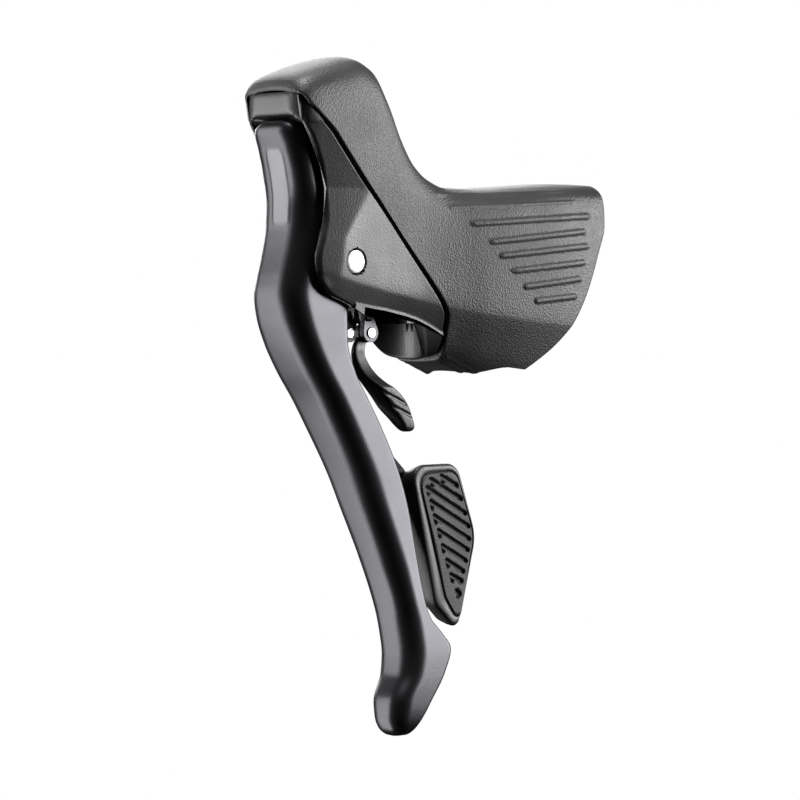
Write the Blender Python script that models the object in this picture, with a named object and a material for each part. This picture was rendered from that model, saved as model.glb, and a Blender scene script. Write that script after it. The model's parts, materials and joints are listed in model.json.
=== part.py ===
"""Left-hand brake and shift lever for a drop handlebar, as separate solids.

World frame: metres, origin at the centre of the handlebar clamp, +X outboard,
-Y forward, +Z up. Shapes are written in millimetres from the brake pivot's
centre (x outboard, y rearward, z up), and put() moves them into the world.
"""
import math

import bpy
import numpy as np
from mathutils import Vector

# ---------------------------------------------------------------- driving sizes, mm
PIVOT = np.array((0.0, -68.0, 7.0))        # brake pivot from the clamp's centre
CLEARANCE = 0.3                            # gap between pieces that touch

BAR_RADIUS = 12.2                          # seat for a 24 mm bar
BAR_TILT = math.radians(33.0)              # bar axis, leaning back from the vertical
BAR_CENTRE = -PIVOT                        # clamp centre seen from the pivot
BAR_ALONG = np.array((0.0, math.sin(BAR_TILT), math.cos(BAR_TILT)))
BAR_BACK = np.array((0.0, math.cos(BAR_TILT), -math.sin(BAR_TILT)))

HOOD_WALL = 2.2
SKIN_STEP = 0.6                            # bare bracket sits this far under the hood's skin
WALL_INSIDE = 10.4                         # half-width of the mechanism bay

PIN_RADIUS = 3.0
PIN_END = 12.2
EAR_OUTSIDE = 8.5
EAR_INSIDE = 6.2
SCREW_X, SCREW_Z = 7.4, 2.0                # long screws that hold the shift unit

AXLE_Z = -4.0                              # shift axle, along y
AXLE_RADIUS = 2.0
HINGE_Y, HINGE_Z = 11.5, -17.5             # paddle hinges, along x
HINGE_RADIUS = 1.2
HOLD_PIN = (6.3, 5.5)                      # x, z of the hold pawl's pin
DRIVE_PIN = (-3.2, 6.6)                    # x, z of the drive pawl's pin
ANCHOR_Y, ANCHOR_Z = -8.4, 12.0            # brake cable barrel
BRAKE_CABLE_X = -3.0
SHIFT_CABLE_X, SHIFT_CABLE_Z = -4.4, 6.8
BOLT_X = 6.5

# Outer form of hood and bracket: y, top, crease, bottom, half-width, shoulder drop
FORM = np.array((
    (-18.0, 42.6, -3.0, -14.0, 9.8, 5.0),
    (-17.0, 45.0, -3.0, -14.0, 11.5, 6.0),
    (-15.0, 46.5, -3.0, -14.3, 12.8, 7.0),
    (-11.0, 48.2, -3.2, -15.0, 13.2, 8.0),
    (-4.0, 50.4, -4.6, -17.6, 13.3, 9.0),
    (2.0, 51.6, -6.0, -18.9, 13.2, 9.5),
    (7.5, 49.7, -7.1, -19.9, 13.1, 10.5),
    (12.0, 43.6, -8.0, -20.7, 13.0, 11.5),
    (16.5, 34.6, -8.8, -21.5, 13.0, 12.0),
    (21.5, 26.9, -9.7, -22.4, 13.1, 11.0),
    (27.0, 22.4, -10.7, -23.5, 13.5, 9.5),
    (34.0, 20.0, -11.9, -25.2, 14.4, 8.5),
    (43.0, 19.8, -13.2, -28.2, 15.8, 8.0),
    (55.0, 20.7, -14.6, -31.6, 17.0, 7.0),
    (68.0, 21.6, -15.7, -34.6, 17.6, 6.0),
    (88.0, 22.4, -16.9, -38.4, 17.2, 6.0),
))

# Edges drawn in side view as (y, z)
SEAM = ((-16.0, 41.5), (-14.7, 39.0), (-11.5, 35.0), (-5.9, 28.5), (1.4, 20.5), (10.0, 11.3),
        (18.1, 1.9), (24.1, -5.1), (28.1, -10.1), (30.0, -13.2), (30.7, -17.0), (31.4, -20.6))
BRACKET_FRONT = ((-15.9, 36.4), (-15.7, 33.0), (-14.0, 28.0), (-11.4, 23.0), (-10.5, 17.0),
                 (-11.7, 8.0), (-12.6, 1.3), (-10.8, -4.6), (-8.0, -7.8), (-1.2, -10.5),
                 (4.6, -13.7), (5.4, -20.0))
HOOD_REAR = ((81.0, 30.0), (82.4, 16.0), (82.2, 10.5), (80.2, 4.5), (75.6, -7.0), (70.9, -14.8),
             (66.2, -20.2), (60.6, -24.8), (55.4, -28.4), (49.0, -32.4))

# Lever blade: z, front, rear, half-width
BLADE = np.array((
    (35.0, -16.4, -11.4, 5.0),
    (34.2, -17.4, -10.2, 7.2),
    (32.5, -17.9, -9.4, 8.3),
    (28.0, -16.6, -8.8, 8.5),
    (21.0, -14.8, -7.9, 8.5),
    (15.0, -14.0, -5.0, 8.5),
    (9.0, -14.2, -0.4, 8.5),
    (5.0, -14.9, 3.9, 8.5),
    (2.0, -15.6, 5.6, 8.5),
    (-1.0, -16.4, 5.9, 8.5),
    (-4.0, -17.2, 4.6, 8.5),
    (-8.0, -17.9, 2.3, 8.6),
    (-14.0, -16.8, 0.5, 9.0),
    (-20.0, -14.6, 0.4, 9.1),
    (-27.5, -10.8, 2.5, 9.0),
    (-34.5, -6.6, 6.3, 8.8),
    (-41.0, -3.4, 9.7, 8.6),
    (-53.0, 1.7, 14.5, 8.1),
    (-61.0, 4.3, 16.4, 7.8),
    (-74.5, 8.8, 18.0, 7.4),
    (-84.5, 11.5, 19.4, 7.2),
    (-89.0, 12.3, 20.8, 7.1),
    (-93.0, 12.7, 24.2, 7.1),
    (-96.5, 12.9, 26.6, 7.1),
    (-102.5, 11.8, 24.2, 6.9),
    (-110.0, 8.0, 19.0, 6.3),
    (-114.0, 7.6, 16.2, 5.7),
    (-116.5, 8.2, 14.2, 4.8),
    (-118.0, 9.8, 12.8, 2.8),
))
FLARE = np.array(((40.0, 0.0), (-10.0, 0.0), (-20.0, 0.3), (-34.0, 1.7), (-54.0, 5.0), (-74.0, 8.2),
                  (-97.0, 11.7), (-118.5, 14.4)))    # z, how far outboard its middle is
CHANNEL_TOP, CHANNEL_FADE, CHANNEL_END = 32.6, -66.0, -80.0
FLANGE = EAR_OUTSIDE - EAR_INSIDE
WEB = 2.6

# Paddle outlines in side view: y, z, corner radius
MAIN_FRAME = ((18.7, -50.8, 3.8), (34.6, -50.4, 4.5), (41.2, -69.0, 12.0), (34.6, -93.2, 1.8),
              (27.0, -86.0, 5.0))
MAIN_FACE = ((20.9, -53.1, 3.2), (33.9, -52.1, 3.6), (40.4, -69.0, 11.0), (35.0, -91.2, 1.5),
             (30.2, -84.6, 6.0))
RELEASE_FACE = ((12.0, -30.8, 0.8), (17.2, -31.9, 4.0), (21.9, -35.0, 4.0), (24.1, -41.4, 1.2),
                (21.2, -42.3, 1.2), (18.2, -38.6, 5.0))
MAIN_ARM = (                               # z, x low, x high, y low, y high
    (-17.5, -6.5, -5.1, 9.9, 13.1),
    (-21.5, -6.4, -4.5, 8.9, 12.4),
    (-25.0, -6.6, -4.4, 8.5, 11.5),
    (-28.5, -6.8, -4.5, 9.3, 11.6),
    (-31.0, -6.8, -4.2, 10.4, 12.6),
    (-34.5, -6.4, -3.2, 11.8, 14.7),
    (-38.5, -5.2, -1.6, 13.0, 16.8),
    (-42.0, -3.8, 0.0, 14.5, 18.4),
    (-47.0, -1.2, 2.2, 16.6, 20.2),
    (-52.0, 1.0, 4.8, 19.0, 23.6),
    (-57.0, 2.0, 5.0, 20.6, 26.6),
    (-64.0, 2.2, 5.0, 23.6, 29.2),
    (-67.0, 2.8, 5.0, 25.4, 28.6),
)
RELEASE_ARM = (
    (-17.5, 1.5, 2.9, 9.9, 13.1),
    (-21.2, 1.5, 3.1, 7.8, 11.3),
    (-23.1, 1.6, 3.6, 7.4, 10.9),
    (-25.6, 1.8, 4.4, 7.8, 11.8),
    (-29.1, 1.4, 5.8, 9.6, 14.4),
    (-32.5, 1.6, 6.6, 13.4, 18.0),
)

# Along the shift axle, y from and to
FRONT_PLATE = (8.0, 9.5)
RELEASE_HUB = (9.8, 11.4)
MAIN_HUB = (11.8, 13.5)
WASHER = (13.8, 14.2)
RATCHET = (14.5, 16.2)
REEL = (16.5, 21.2)
REAR_PLATE = (25.0, 26.5)
BAY_REAR = 29.0

# ---------------------------------------------------------------- finishes
FINISHES = {                               # base colour (linear), metallic, roughness
    "hood_rubber": ((0.020, 0.020, 0.021), 0.0, 0.62),
    "bracket_nylon": ((0.016, 0.016, 0.017), 0.0, 0.48),
    "blade_coat": ((0.026, 0.026, 0.028), 0.3, 0.36),
    "paddle_plastic": ((0.014, 0.014, 0.015), 0.0, 0.42),
    "pad_rubber": ((0.030, 0.030, 0.031), 0.0, 0.60),
    "steel": ((0.42, 0.42, 0.43), 1.0, 0.30),
    "spring_steel": ((0.30, 0.30, 0.31), 1.0, 0.35),
    "brass": ((0.48, 0.36, 0.16), 1.0, 0.35),
    "liner": ((0.55, 0.55, 0.54), 0.0, 0.45),
}


def clear_scene():
    """Removes every object that is in the file."""
    for item in list(bpy.data.objects):
        bpy.data.objects.remove(item, do_unlink=True)


def finish_material(name):
    """One Principled material for each finish, made on first use."""
    if name in bpy.data.materials:
        return bpy.data.materials[name]
    colour, metallic, roughness = FINISHES[name]
    material = bpy.data.materials.new(name)
    material.use_nodes = True
    shader = material.node_tree.nodes["Principled BSDF"]
    shader.inputs["Base Color"].default_value = (*colour, 1.0)
    shader.inputs["Metallic"].default_value = metallic
    shader.inputs["Roughness"].default_value = roughness
    return material


# ---------------------------------------------------------------- solids
def put(points):
    """Pivot millimetres to world metres."""
    return (np.asarray(points, dtype=float) + PIVOT) * 0.001


def solid(name, points, faces):
    """A mesh object from points in pivot millimetres."""
    mesh = bpy.data.meshes.new(name)
    mesh.from_pydata(put(points).tolist(), [], [list(map(int, face)) for face in faces])
    mesh.validate()
    item = bpy.data.objects.new(name, mesh)
    bpy.context.scene.collection.objects.link(item)
    return item


def signed_volume(points, faces):
    """Six times the volume inside the faces, positive when they point outward."""
    total = 0.0
    for face in faces:
        first = points[face[0]]
        for second, third in zip(face[1:-1], face[2:]):
            total += np.dot(first, np.cross(points[second], points[third]))
    return total


def skin(name, rings, capped=True):
    """A solid through equal rings of points; uncapped rings join end to end."""
    rings = np.asarray(rings, dtype=float)
    count, around = rings.shape[:2]
    points = rings.reshape(-1, 3)
    faces = []
    spans = count - 1 if capped else count
    for i in range(spans):
        low = i * around
        high = ((i + 1) % count) * around
        for j in range(around):
            k = (j + 1) % around
            faces.append((low + j, low + k, high + k, high + j))
    if capped:
        faces.append(tuple(range(around))[::-1])
        faces.append(tuple(range((count - 1) * around, count * around)))
    if signed_volume(points - points.mean(axis=0), faces) < 0.0:
        faces = [face[::-1] for face in faces]
    return solid(name, points, faces)


AXIS_ORDER = {"X": (0, 1, 2), "Y": (1, 0, 2), "Z": (2, 0, 1)}


def slab(name, outline, axis, low, high):
    """An outline pushed along an axis; it is (y, z), (x, z) or (x, y)."""
    outline = np.asarray(outline, dtype=float)
    rings = np.zeros((2, len(outline), 3))
    along, first, second = AXIS_ORDER[axis]
    rings[0, :, along] = low
    rings[1, :, along] = high
    rings[:, :, first] = outline[:, 0]
    rings[:, :, second] = outline[:, 1]
    return skin(name, rings)


def across(direction):
    """Two unit vectors square to a direction and to each other."""
    direction = np.asarray(direction, dtype=float)
    helper = np.array((0.0, 0.0, 1.0)) if abs(direction[2]) < 0.9 else np.array((0.0, 1.0, 0.0))
    first = np.cross(direction, helper)
    first /= np.linalg.norm(first)
    return first, np.cross(direction, first)


def turned(name, profile, centre, direction, sides=24, ring=False):
    """A turned piece from (along, radius) pairs; a ring's profile closes on itself."""
    direction = np.asarray(direction, dtype=float)
    first, second = across(direction)
    angles = np.arange(sides) * (2.0 * math.pi / sides)
    spokes = np.outer(np.cos(angles), first) + np.outer(np.sin(angles), second)
    rings = [np.asarray(centre) + direction * along + spokes * radius for along, radius in profile]
    return skin(name, rings, capped=not ring)


def rod(name, centre, direction, low, high, radius, sides=24):
    """A plain cylinder."""
    return turned(name, ((low, radius), (high, radius)), centre, direction, sides)


def sleeve(name, centre, direction, low, high, inside, outside, sides=24):
    """A plain tube."""
    profile = ((low, inside), (high, inside), (high, outside), (low, outside))
    return turned(name, profile, centre, direction, sides, ring=True)


def tube(name, path, radius, sides=8):
    """A round wire or rod along a path, its frame carried along without twist."""
    path = np.asarray(path, dtype=float)
    ways = np.gradient(path, axis=0)
    ways /= np.linalg.norm(ways, axis=1)[:, None]
    side = across(ways[0])[0]
    angles = np.arange(sides) * (2.0 * math.pi / sides)
    rings = []
    for point, way in zip(path, ways):
        side = side - way * np.dot(side, way)
        side /= np.linalg.norm(side)
        other = np.cross(way, side)
        spokes = np.outer(np.cos(angles), side) + np.outer(np.sin(angles), other)
        rings.append(point + spokes * radius)
    return skin(name, rings)


def carve(piece, tool, operation="DIFFERENCE", solver="EXACT"):
    """Cuts, joins or intersects with a tool, then removes the tool."""
    modifier = piece.modifiers.new(operation.lower(), "BOOLEAN")
    modifier.operation = operation
    modifier.solver = solver
    modifier.object = tool
    bpy.context.view_layer.update()
    graph = bpy.context.evaluated_depsgraph_get()
    mesh = bpy.data.meshes.new_from_object(piece.evaluated_get(graph))
    piece.modifiers.clear()
    old = piece.data
    piece.data = mesh
    bpy.data.meshes.remove(old)
    bpy.data.objects.remove(tool, do_unlink=True)
    return piece


def fillet(corners, steps=4):
    """An outline from (a, b, radius) corners, each one rounded by an arc."""
    count = len(corners)
    outline = []
    for i, (a, b, radius) in enumerate(corners):
        here = np.array((a, b))
        before = np.array(corners[i - 1][:2]) - here
        after = np.array(corners[(i + 1) % count][:2]) - here
        before /= np.linalg.norm(before)
        after /= np.linalg.norm(after)
        half = math.acos(np.clip(np.dot(before, after), -1.0, 1.0)) / 2.0
        middle = (before + after) / np.linalg.norm(before + after)
        centre = here + middle * (radius / math.sin(half))
        start = here + before * (radius / math.tan(half)) - centre
        sweep = math.pi - 2.0 * half
        turn = math.copysign(sweep, before[1] * after[0] - before[0] * after[1])
        for step in range(steps + 1):
            angle = turn * step / steps
            spin = np.array(((math.cos(angle), -math.sin(angle)), (math.sin(angle), math.cos(angle))))
            outline.append(centre + spin @ start)
    return np.array(outline)


def link(first, second, first_radius, second_radius, steps=8):
    """The outline of a bar that joins two round ends."""
    first = np.asarray(first, dtype=float)
    second = np.asarray(second, dtype=float)
    gap = second - first
    heading = math.atan2(gap[1], gap[0])
    open_angle = math.acos((first_radius - second_radius) / np.linalg.norm(gap))
    outline = []
    for centre, radius, start, stop in (
            (second, second_radius, heading - open_angle, heading + open_angle),
            (first, first_radius, heading + open_angle, heading + 2 * math.pi - open_angle)):
        for angle in np.linspace(start, stop, steps + 1):
            outline.append(centre + radius * np.array((math.cos(angle), math.sin(angle))))
    return np.array(outline)


def smooth(table, column, at):
    """A smooth curve through a table's rows that never overshoots them."""
    order = np.argsort(table[:, 0])
    known = table[order, 0]
    value = table[order, column]
    step = np.diff(known)
    slope = np.diff(value) / step
    grade = np.empty(len(known))
    grade[0] = slope[0]
    grade[-1] = slope[-1]
    flat = slope[:-1] * slope[1:] <= 0.0
    safe = np.where(flat, 1.0, slope[:-1] + slope[1:])
    grade[1:-1] = np.where(flat, 0.0, 2.0 * slope[:-1] * slope[1:] / safe)
    at = np.clip(np.asarray(at, dtype=float), known[0], known[-1])
    i = np.clip(np.searchsorted(known, at) - 1, 0, len(step) - 1)
    t = (at - known[i]) / step[i]
    return ((1 + 2 * t) * (1 - t) ** 2 * value[i] + t * (1 - t) ** 2 * step[i] * grade[i]
            + t ** 2 * (3 - 2 * t) * value[i + 1] - t ** 2 * (1 - t) * step[i] * grade[i + 1])


def finished(item, finish, centre=(0.0, 0.0, 0.0), sharp=32.0):
    """Names the finish, shades round faces smooth and puts the origin on the joint."""
    spot = Vector(put(centre))
    offset = np.array(spot)
    count = len(item.data.vertices)
    points = np.empty(count * 3)
    item.data.vertices.foreach_get("co", points)
    points = points.reshape(-1, 3) - offset
    item.data.vertices.foreach_set("co", points.ravel())
    item.location = spot
    item.data.shade_smooth()
    item.data.set_sharp_from_angle(angle=math.radians(sharp))
    item.data.materials.clear()
    item.data.materials.append(finish_material(finish))
    item.data.update()
    return item


# ---------------------------------------------------------------- outer form
def form(name, shrink, rear, samples=2):
    """The hand-shaped body of hood and bracket, moved inward by shrink.

    Each section across y is a closed quadratic B-spline round the same control
    corners; where the top or bottom slopes, shrink is measured square to it.
    """
    nose = FORM[0, 0]
    stations = np.unique(np.concatenate((FORM[:, 0], (0.0, 8.0, 12.5, 49.0, 61.0, 75.0))))
    top, crease, bottom, width, drop = (smooth(FORM, i, stations) for i in range(1, 6))
    top = top - shrink * np.sqrt(1.0 + np.gradient(top, stations) ** 2).clip(1.0, 2.0)
    bottom = bottom + shrink * np.sqrt(1.0 + np.gradient(bottom, stations) ** 2)
    width = width - shrink
    lowered = width * 0.66
    corners = np.stack((
        np.stack((width * 0.42, top), axis=-1),
        np.stack((width * 0.84, top - drop * 0.22), axis=-1),
        np.stack((width, top - drop), axis=-1),
        np.stack((width, crease + 2.0), axis=-1),
        np.stack((width - 0.9, crease - 1.4), axis=-1),
        np.stack((lowered, bottom + 0.8), axis=-1),
        np.stack((lowered * 0.5, bottom), axis=-1),
    ), axis=1)
    mirrored = corners[:, ::-1] * np.array((-1.0, 1.0))
    corners = np.concatenate((corners, mirrored), axis=1)
    before = np.roll(corners, 1, axis=1)
    after = np.roll(corners, -1, axis=1)
    parts = []
    for t in (np.arange(samples) + 0.5) / samples:
        parts.append(0.5 * (1 - t) ** 2 * before + (0.5 + t * (1 - t)) * corners + 0.5 * t ** 2 * after)
    section = np.stack(parts, axis=2).reshape(len(stations), -1, 2)
    rings = np.empty((len(stations), section.shape[1], 3))
    pushed = stations + shrink * np.clip(1.0 - (stations - nose) / 10.0, 0.0, 1.0)
    pushed[-1] = rear
    rings[:, :, 0] = section[:, :, 0]
    rings[:, :, 1] = pushed[:, None]
    rings[:, :, 2] = section[:, :, 1]
    return skin(name, rings)


def behind_seam(name, ahead):
    """Everything behind the hood's edge, its border moved ahead by a gap."""
    edge = np.array(SEAM)
    ways = np.gradient(edge, axis=0)
    ways /= np.linalg.norm(ways, axis=1)[:, None]
    edge = edge + ahead * np.stack((ways[:, 1], -ways[:, 0]), axis=-1)
    outline = np.vstack(((-30.0, edge[0, 1] + 0.4), edge, (33.0, -60.0), (120.0, -60.0),
                         (120.0, 90.0), (-30.0, 90.0)))
    return slab(name, outline, "X", -30.0, 30.0)


def behind_rear(name, ahead):
    """Everything behind the hood's rear end, moved ahead."""
    edge = np.array(HOOD_REAR) - ahead * BAR_BACK[1:]
    outline = np.vstack(((edge[0, 0], 90.0), edge, (edge[-1, 0], -90.0), (130.0, -90.0), (130.0, 90.0)))
    return slab(name, outline, "X", -30.0, 30.0)


def bar_point(x, back, along):
    """A place given from the bar's axis: x, back from it, and along it."""
    return np.array((x, 0.0, 0.0)) + BAR_CENTRE + BAR_BACK * back + BAR_ALONG * along


def bar_box(name, x_range, back_range, half_along):
    """A box that is square to the bar."""
    corners = [(x_range[i], back_range[j]) for i, j in ((0, 0), (1, 0), (1, 1), (0, 1))]
    rings = [[bar_point(x, back, along) for x, back in corners] for along in (-half_along, half_along)]
    return skin(name, rings)


def strap_rooms():
    """The room beside the bar for the strap's legs, its folded ends and the nut."""
    inboard = ((-20.0, -16.9), (-8.6, -16.9), (-8.6, -14.3), (-12.05, -14.3), (-12.05, 20.0),
               (-20.0, 20.0))
    outboard = ((20.0, -16.9), (20.0, 20.0), (12.05, 20.0), (12.05, -12.1), (11.0, -12.1),
                (11.0, -9.5), (3.5, -9.5), (3.5, -14.3), (2.8, -14.3), (2.8, -16.9))
    tools = []
    for name, outline in (("inboard_room", inboard), ("outboard_room", outboard)):
        rings = [[bar_point(x, back, along) for x, back in outline] for along in (-6.6, 6.6)]
        tools.append(skin(name, rings))
    return tools


def rubber_hood():
    """The moulded hood: an open sleeve behind the seam."""
    hood = form("rubber_hood", 0.0, 88.0)
    carve(hood, behind_seam("keep", 0.0), "INTERSECT")
    carve(hood, form("inside", HOOD_WALL, 96.0))
    carve(hood, behind_rear("rear", 0.0))
    carve(hood, rod("bar", BAR_CENTRE, BAR_ALONG, -60.0, 60.0, BAR_RADIUS + 0.3, 48))
    return finished(hood, "hood_rubber", -PIVOT)


def bay_tools():
    """The spaces that hold the blade and the shift unit."""
    arc = []
    for angle in np.linspace(-90.0, 90.0, 13):
        arc.append((WALL_INSIDE * math.sin(math.radians(-angle)),
                    18.6 + WALL_INSIDE * math.cos(math.radians(angle))))
    mouth = np.vstack(((WALL_INSIDE, -40.0), arc, (-WALL_INSIDE, -40.0)))
    bay = np.array(((-40.0, -15.0), (BAY_REAR, -15.0), (BAY_REAR, 18.0), (-7.0, 18.0), (-7.0, 19.0),
                    (-40.0, 19.0)))
    nest = np.array(((-40.0, 10.0), (-6.4, 10.0), (-6.4, 24.0), (-7.2, 36.1), (-40.0, 36.1)))
    front = np.vstack(((-40.0, 36.4), BRACKET_FRONT, (5.4, -60.0), (-40.0, -60.0)))
    return (slab("mouth", mouth, "Z", -60.0, -14.0),
            slab("bay", bay, "X", -WALL_INSIDE, WALL_INSIDE),
            slab("nest", nest, "X", -9.7, 9.7),
            slab("front", front, "X", -30.0, 30.0))


def cable_and_screw_holes():
    """The straight holes through the bracket: place, direction, from, to, radius, sides."""
    bolt_line = bar_point(BOLT_X, 0, 0)
    return (
        ("bolt_hole", bolt_line, BAR_BACK, -31.0, -15.0, 2.8, 24),
        ("bolt_way", bolt_line, BAR_BACK, -70.0, -30.0, 4.5, 24),
        ("pin_hole", (0, 0, 0), (1, 0, 0), -20.0, 20.0, PIN_RADIUS + CLEARANCE, 24),
        ("brake_way", (BRAKE_CABLE_X, 0, ANCHOR_Z), (0, 1, 0), 28.0, 80.0, 3.1, 24),
        ("shift_way", (SHIFT_CABLE_X, 0, SHIFT_CABLE_Z), (0, 1, 0), 28.0, 80.0, 2.0, 16),
        ("reach_hole", (0, 0, 27.0), (0, 1, 0), -12.0, -1.0, 2.3, 16),
        ("inboard_screw", (-SCREW_X, 0, SCREW_Z), (0, 1, 0), 28.0, 34.0, 1.3, 16),
        ("outboard_screw", (SCREW_X, 0, SCREW_Z), (0, 1, 0), 28.0, 34.0, 1.3, 16),
    )


def bracket_body():
    """The plastic bracket: bare ahead of the seam, a narrower core under the hood."""
    body = form("bracket_body", SKIN_STEP, 88.0)
    under_hood = behind_seam("under_hood", CLEARANCE)
    carve(under_hood, form("core", HOOD_WALL + CLEARANCE, 96.0))
    tools = [under_hood, *bay_tools(), behind_rear("rear", 6.0)]
    tools.append(rod("bar", BAR_CENTRE, BAR_ALONG, -60.0, 60.0, BAR_RADIUS, 48))
    tools += strap_rooms()
    tools += [rod(*hole) for hole in cable_and_screw_holes()]
    for tool in tools:
        carve(body, tool, solver="MANIFOLD")
    return finished(body, "bracket_nylon", -PIVOT)


# ---------------------------------------------------------------- pivot and clamp
def pivot_pin():
    """The brake pivot, with a groove for its clip."""
    profile = ((-PIN_END, 2.6), (-PIN_END + 0.4, PIN_RADIUS), (-10.3, PIN_RADIUS), (-10.2, 2.4),
               (-9.5, 2.4), (-9.4, PIN_RADIUS), (PIN_END - 0.4, PIN_RADIUS), (PIN_END, 2.6))
    return finished(turned("pivot_pin", profile, (0, 0, 0), (1, 0, 0)), "steel")


def pivot_circlip():
    """An open clip in the pin's groove."""
    clip = sleeve("pivot_circlip", (0, 0, 0), (1, 0, 0), -10.1, -9.6, 2.65, 4.7)
    gap = slab("gap", ((0.0, 0.0), (-3.0, -8.0), (3.0, -8.0)), "X", -12.0, -8.0)
    return finished(carve(clip, gap), "spring_steel")


def clamp_band():
    """A steel strap round the bar, with a straight leg and a folded end on each side."""
    inside, outside = 12.4, 13.4
    arc = np.linspace(-90.0, 90.0, 25)

    def strap(radius):
        return [(radius * math.sin(math.radians(a)), radius * math.cos(math.radians(a))) for a in arc]

    outline = ([(-9.2, -16.5), (-outside, -16.5)] + strap(outside) + [(outside, -16.5), (3.2, -16.5)]
               + [(3.2, -14.7), (inside, -14.7)] + strap(inside)[::-1] + [(-inside, -14.7), (-9.2, -14.7)])
    rings = [[bar_point(x, back, along) for x, back in outline] for along in (-6.0, 6.0)]
    band = skin("clamp_band", rings)
    carve(band, rod("bolt_hole", bar_point(BOLT_X, 0, 0), BAR_BACK, -18.0, -13.0, 2.8))
    return finished(band, "steel", -PIVOT)


def clamp_bolt():
    """A socket-head bolt that pulls the strap forward."""
    profile = ((-34.2, 4.0), (-33.8, 4.2), (-30.3, 4.2), (-30.3, 2.5), (-12.0, 2.5))
    bolt = turned("clamp_bolt", profile, bar_point(BOLT_X, 0, 0), BAR_BACK)
    socket = rod("socket", bar_point(BOLT_X, 0, 0), BAR_BACK, -40.0, -31.8, 2.5, 6)
    return finished(carve(bolt, socket), "steel", -PIVOT)


def clamp_nut():
    """The square nut behind the strap's outboard end."""
    nut = bar_box("clamp_nut", (3.9, 10.6), (-14.4, -12.5), 4.0)
    carve(nut, rod("thread", bar_point(BOLT_X, 0, 0), BAR_BACK, -20.0, -6.0, 2.75))
    return finished(nut, "steel", -PIVOT)


def reach_screw():
    """A grub screw that sets where the blade rests."""
    profile = ((-9.0, 1.5), (-8.6, 2.0), (-1.8, 2.0))
    screw = turned("reach_screw", profile, (0, 0, 27.0), (0, 1, 0), 16)
    socket = rod("socket", (0, 0, 27.0), (0, 1, 0), -12.0, -7.4, 0.95, 6)
    return finished(carve(screw, socket), "steel", (0, 0, 27.0))


def brake_cable_guide():
    """A flanged liner from the bay to the bar."""
    profile = ((27.2, 2.0), (27.2, 3.2), (28.7, 3.2), (28.7, 2.8), (58.0, 2.8), (58.0, 2.0))
    guide = turned("brake_cable_guide", profile, (BRAKE_CABLE_X, 0, ANCHOR_Z), (0, 1, 0), 20, ring=True)
    return finished(guide, "liner", (BRAKE_CABLE_X, 28.7, ANCHOR_Z))


def shift_cable_guide():
    """A bent liner that takes the shift cable off the top of the reel."""
    bend = 3.2
    reel_y = (REEL[0] + REEL[1]) / 2.0
    path = []
    for angle in np.linspace(0.0, math.pi / 2.0, 7):
        path.append((SHIFT_CABLE_X, reel_y + bend * (1 - math.cos(angle)),
                     SHIFT_CABLE_Z - bend * (1 - math.sin(angle))))
    path += [(SHIFT_CABLE_X, y, SHIFT_CABLE_Z) for y in (30.0, 44.0, 56.0)]
    guide = tube("shift_cable_guide", path, 1.7, 12)
    start = (SHIFT_CABLE_X, reel_y, SHIFT_CABLE_Z - bend - 2.0)
    stop = (SHIFT_CABLE_X, 60.0, SHIFT_CABLE_Z)
    carve(guide, tube("bore", [start, *path, stop], 0.95, 12))
    return finished(guide, "liner", (SHIFT_CABLE_X, BAY_REAR, SHIFT_CABLE_Z))


# ---------------------------------------------------------------- shift unit, fixed
def unit_plate(name, place):
    """A steel plate that carries the axle, the long screws and the hold pawl's pin."""
    edge = WALL_INSIDE - CLEARANCE
    outline = fillet(((-edge, 5.2, 2.2), (1.0, 5.2, 2.0), (3.6, 8.2, 2.0), (edge, 8.2, 2.2),
                      (edge, -1.4, 2.0), (4.4, -9.8, 3.0), (-4.4, -9.8, 3.0), (-edge, -1.4, 2.0)), 3)
    low, high = place
    plate = slab(name, outline, "Y", low, high)
    if name == "unit_rear_plate":
        relief = ((-6.6, 4.6), (-2.2, 4.6), (-2.2, 9.0), (-6.6, 9.0))
        carve(plate, slab("relief", relief, "Y", low - 1, high + 1))
    holes = ((0.0, AXLE_Z, AXLE_RADIUS), (-SCREW_X, SCREW_Z, 1.0), (SCREW_X, SCREW_Z, 1.0),
             (*HOLD_PIN, 1.0))
    for x, z, radius in holes:
        carve(plate, rod("hole", (x, 0, z), (0, 1, 0), low - 1.0, high + 1.0, radius + 0.25, 16))
    return finished(plate, "steel", (0, low, AXLE_Z))


def shift_axle():
    """The headed axle that the hubs and the reel turn on."""
    profile = ((6.4, 3.0), (6.7, 3.4), (7.7, 3.4), (7.7, AXLE_RADIUS), (28.6, AXLE_RADIUS))
    return finished(turned("shift_axle", profile, (0, 0, AXLE_Z), (0, 1, 0)), "steel", (0, 0, AXLE_Z))


def axle_nut():
    """The hexagon nut at the axle's rear end."""
    nut = rod("axle_nut", (0, 0, AXLE_Z), (0, 1, 0), 26.8, 28.6, 3.9, 6)
    carve(nut, rod("thread", (0, 0, AXLE_Z), (0, 1, 0), 26.0, 30.0, AXLE_RADIUS + 0.2))
    return finished(nut, "steel", (0, 0, AXLE_Z))


def axle_washer():
    """The thin washer between the hubs and the ratchet."""
    washer = sleeve("axle_washer", (0, 0, AXLE_Z), (0, 1, 0), *WASHER, AXLE_RADIUS + 0.25, 4.4)
    return finished(washer, "steel", (0, 0, AXLE_Z))


def unit_screw(name, side):
    """A long screw that holds the unit in the bracket."""
    profile = ((6.4, 1.5), (6.7, 1.8), (7.7, 1.8), (7.7, 1.0), (33.0, 1.0))
    screw = turned(name, profile, (side * SCREW_X, 0, SCREW_Z), (0, 1, 0), 16)
    return finished(screw, "steel", (side * SCREW_X, 0, SCREW_Z))


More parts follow.
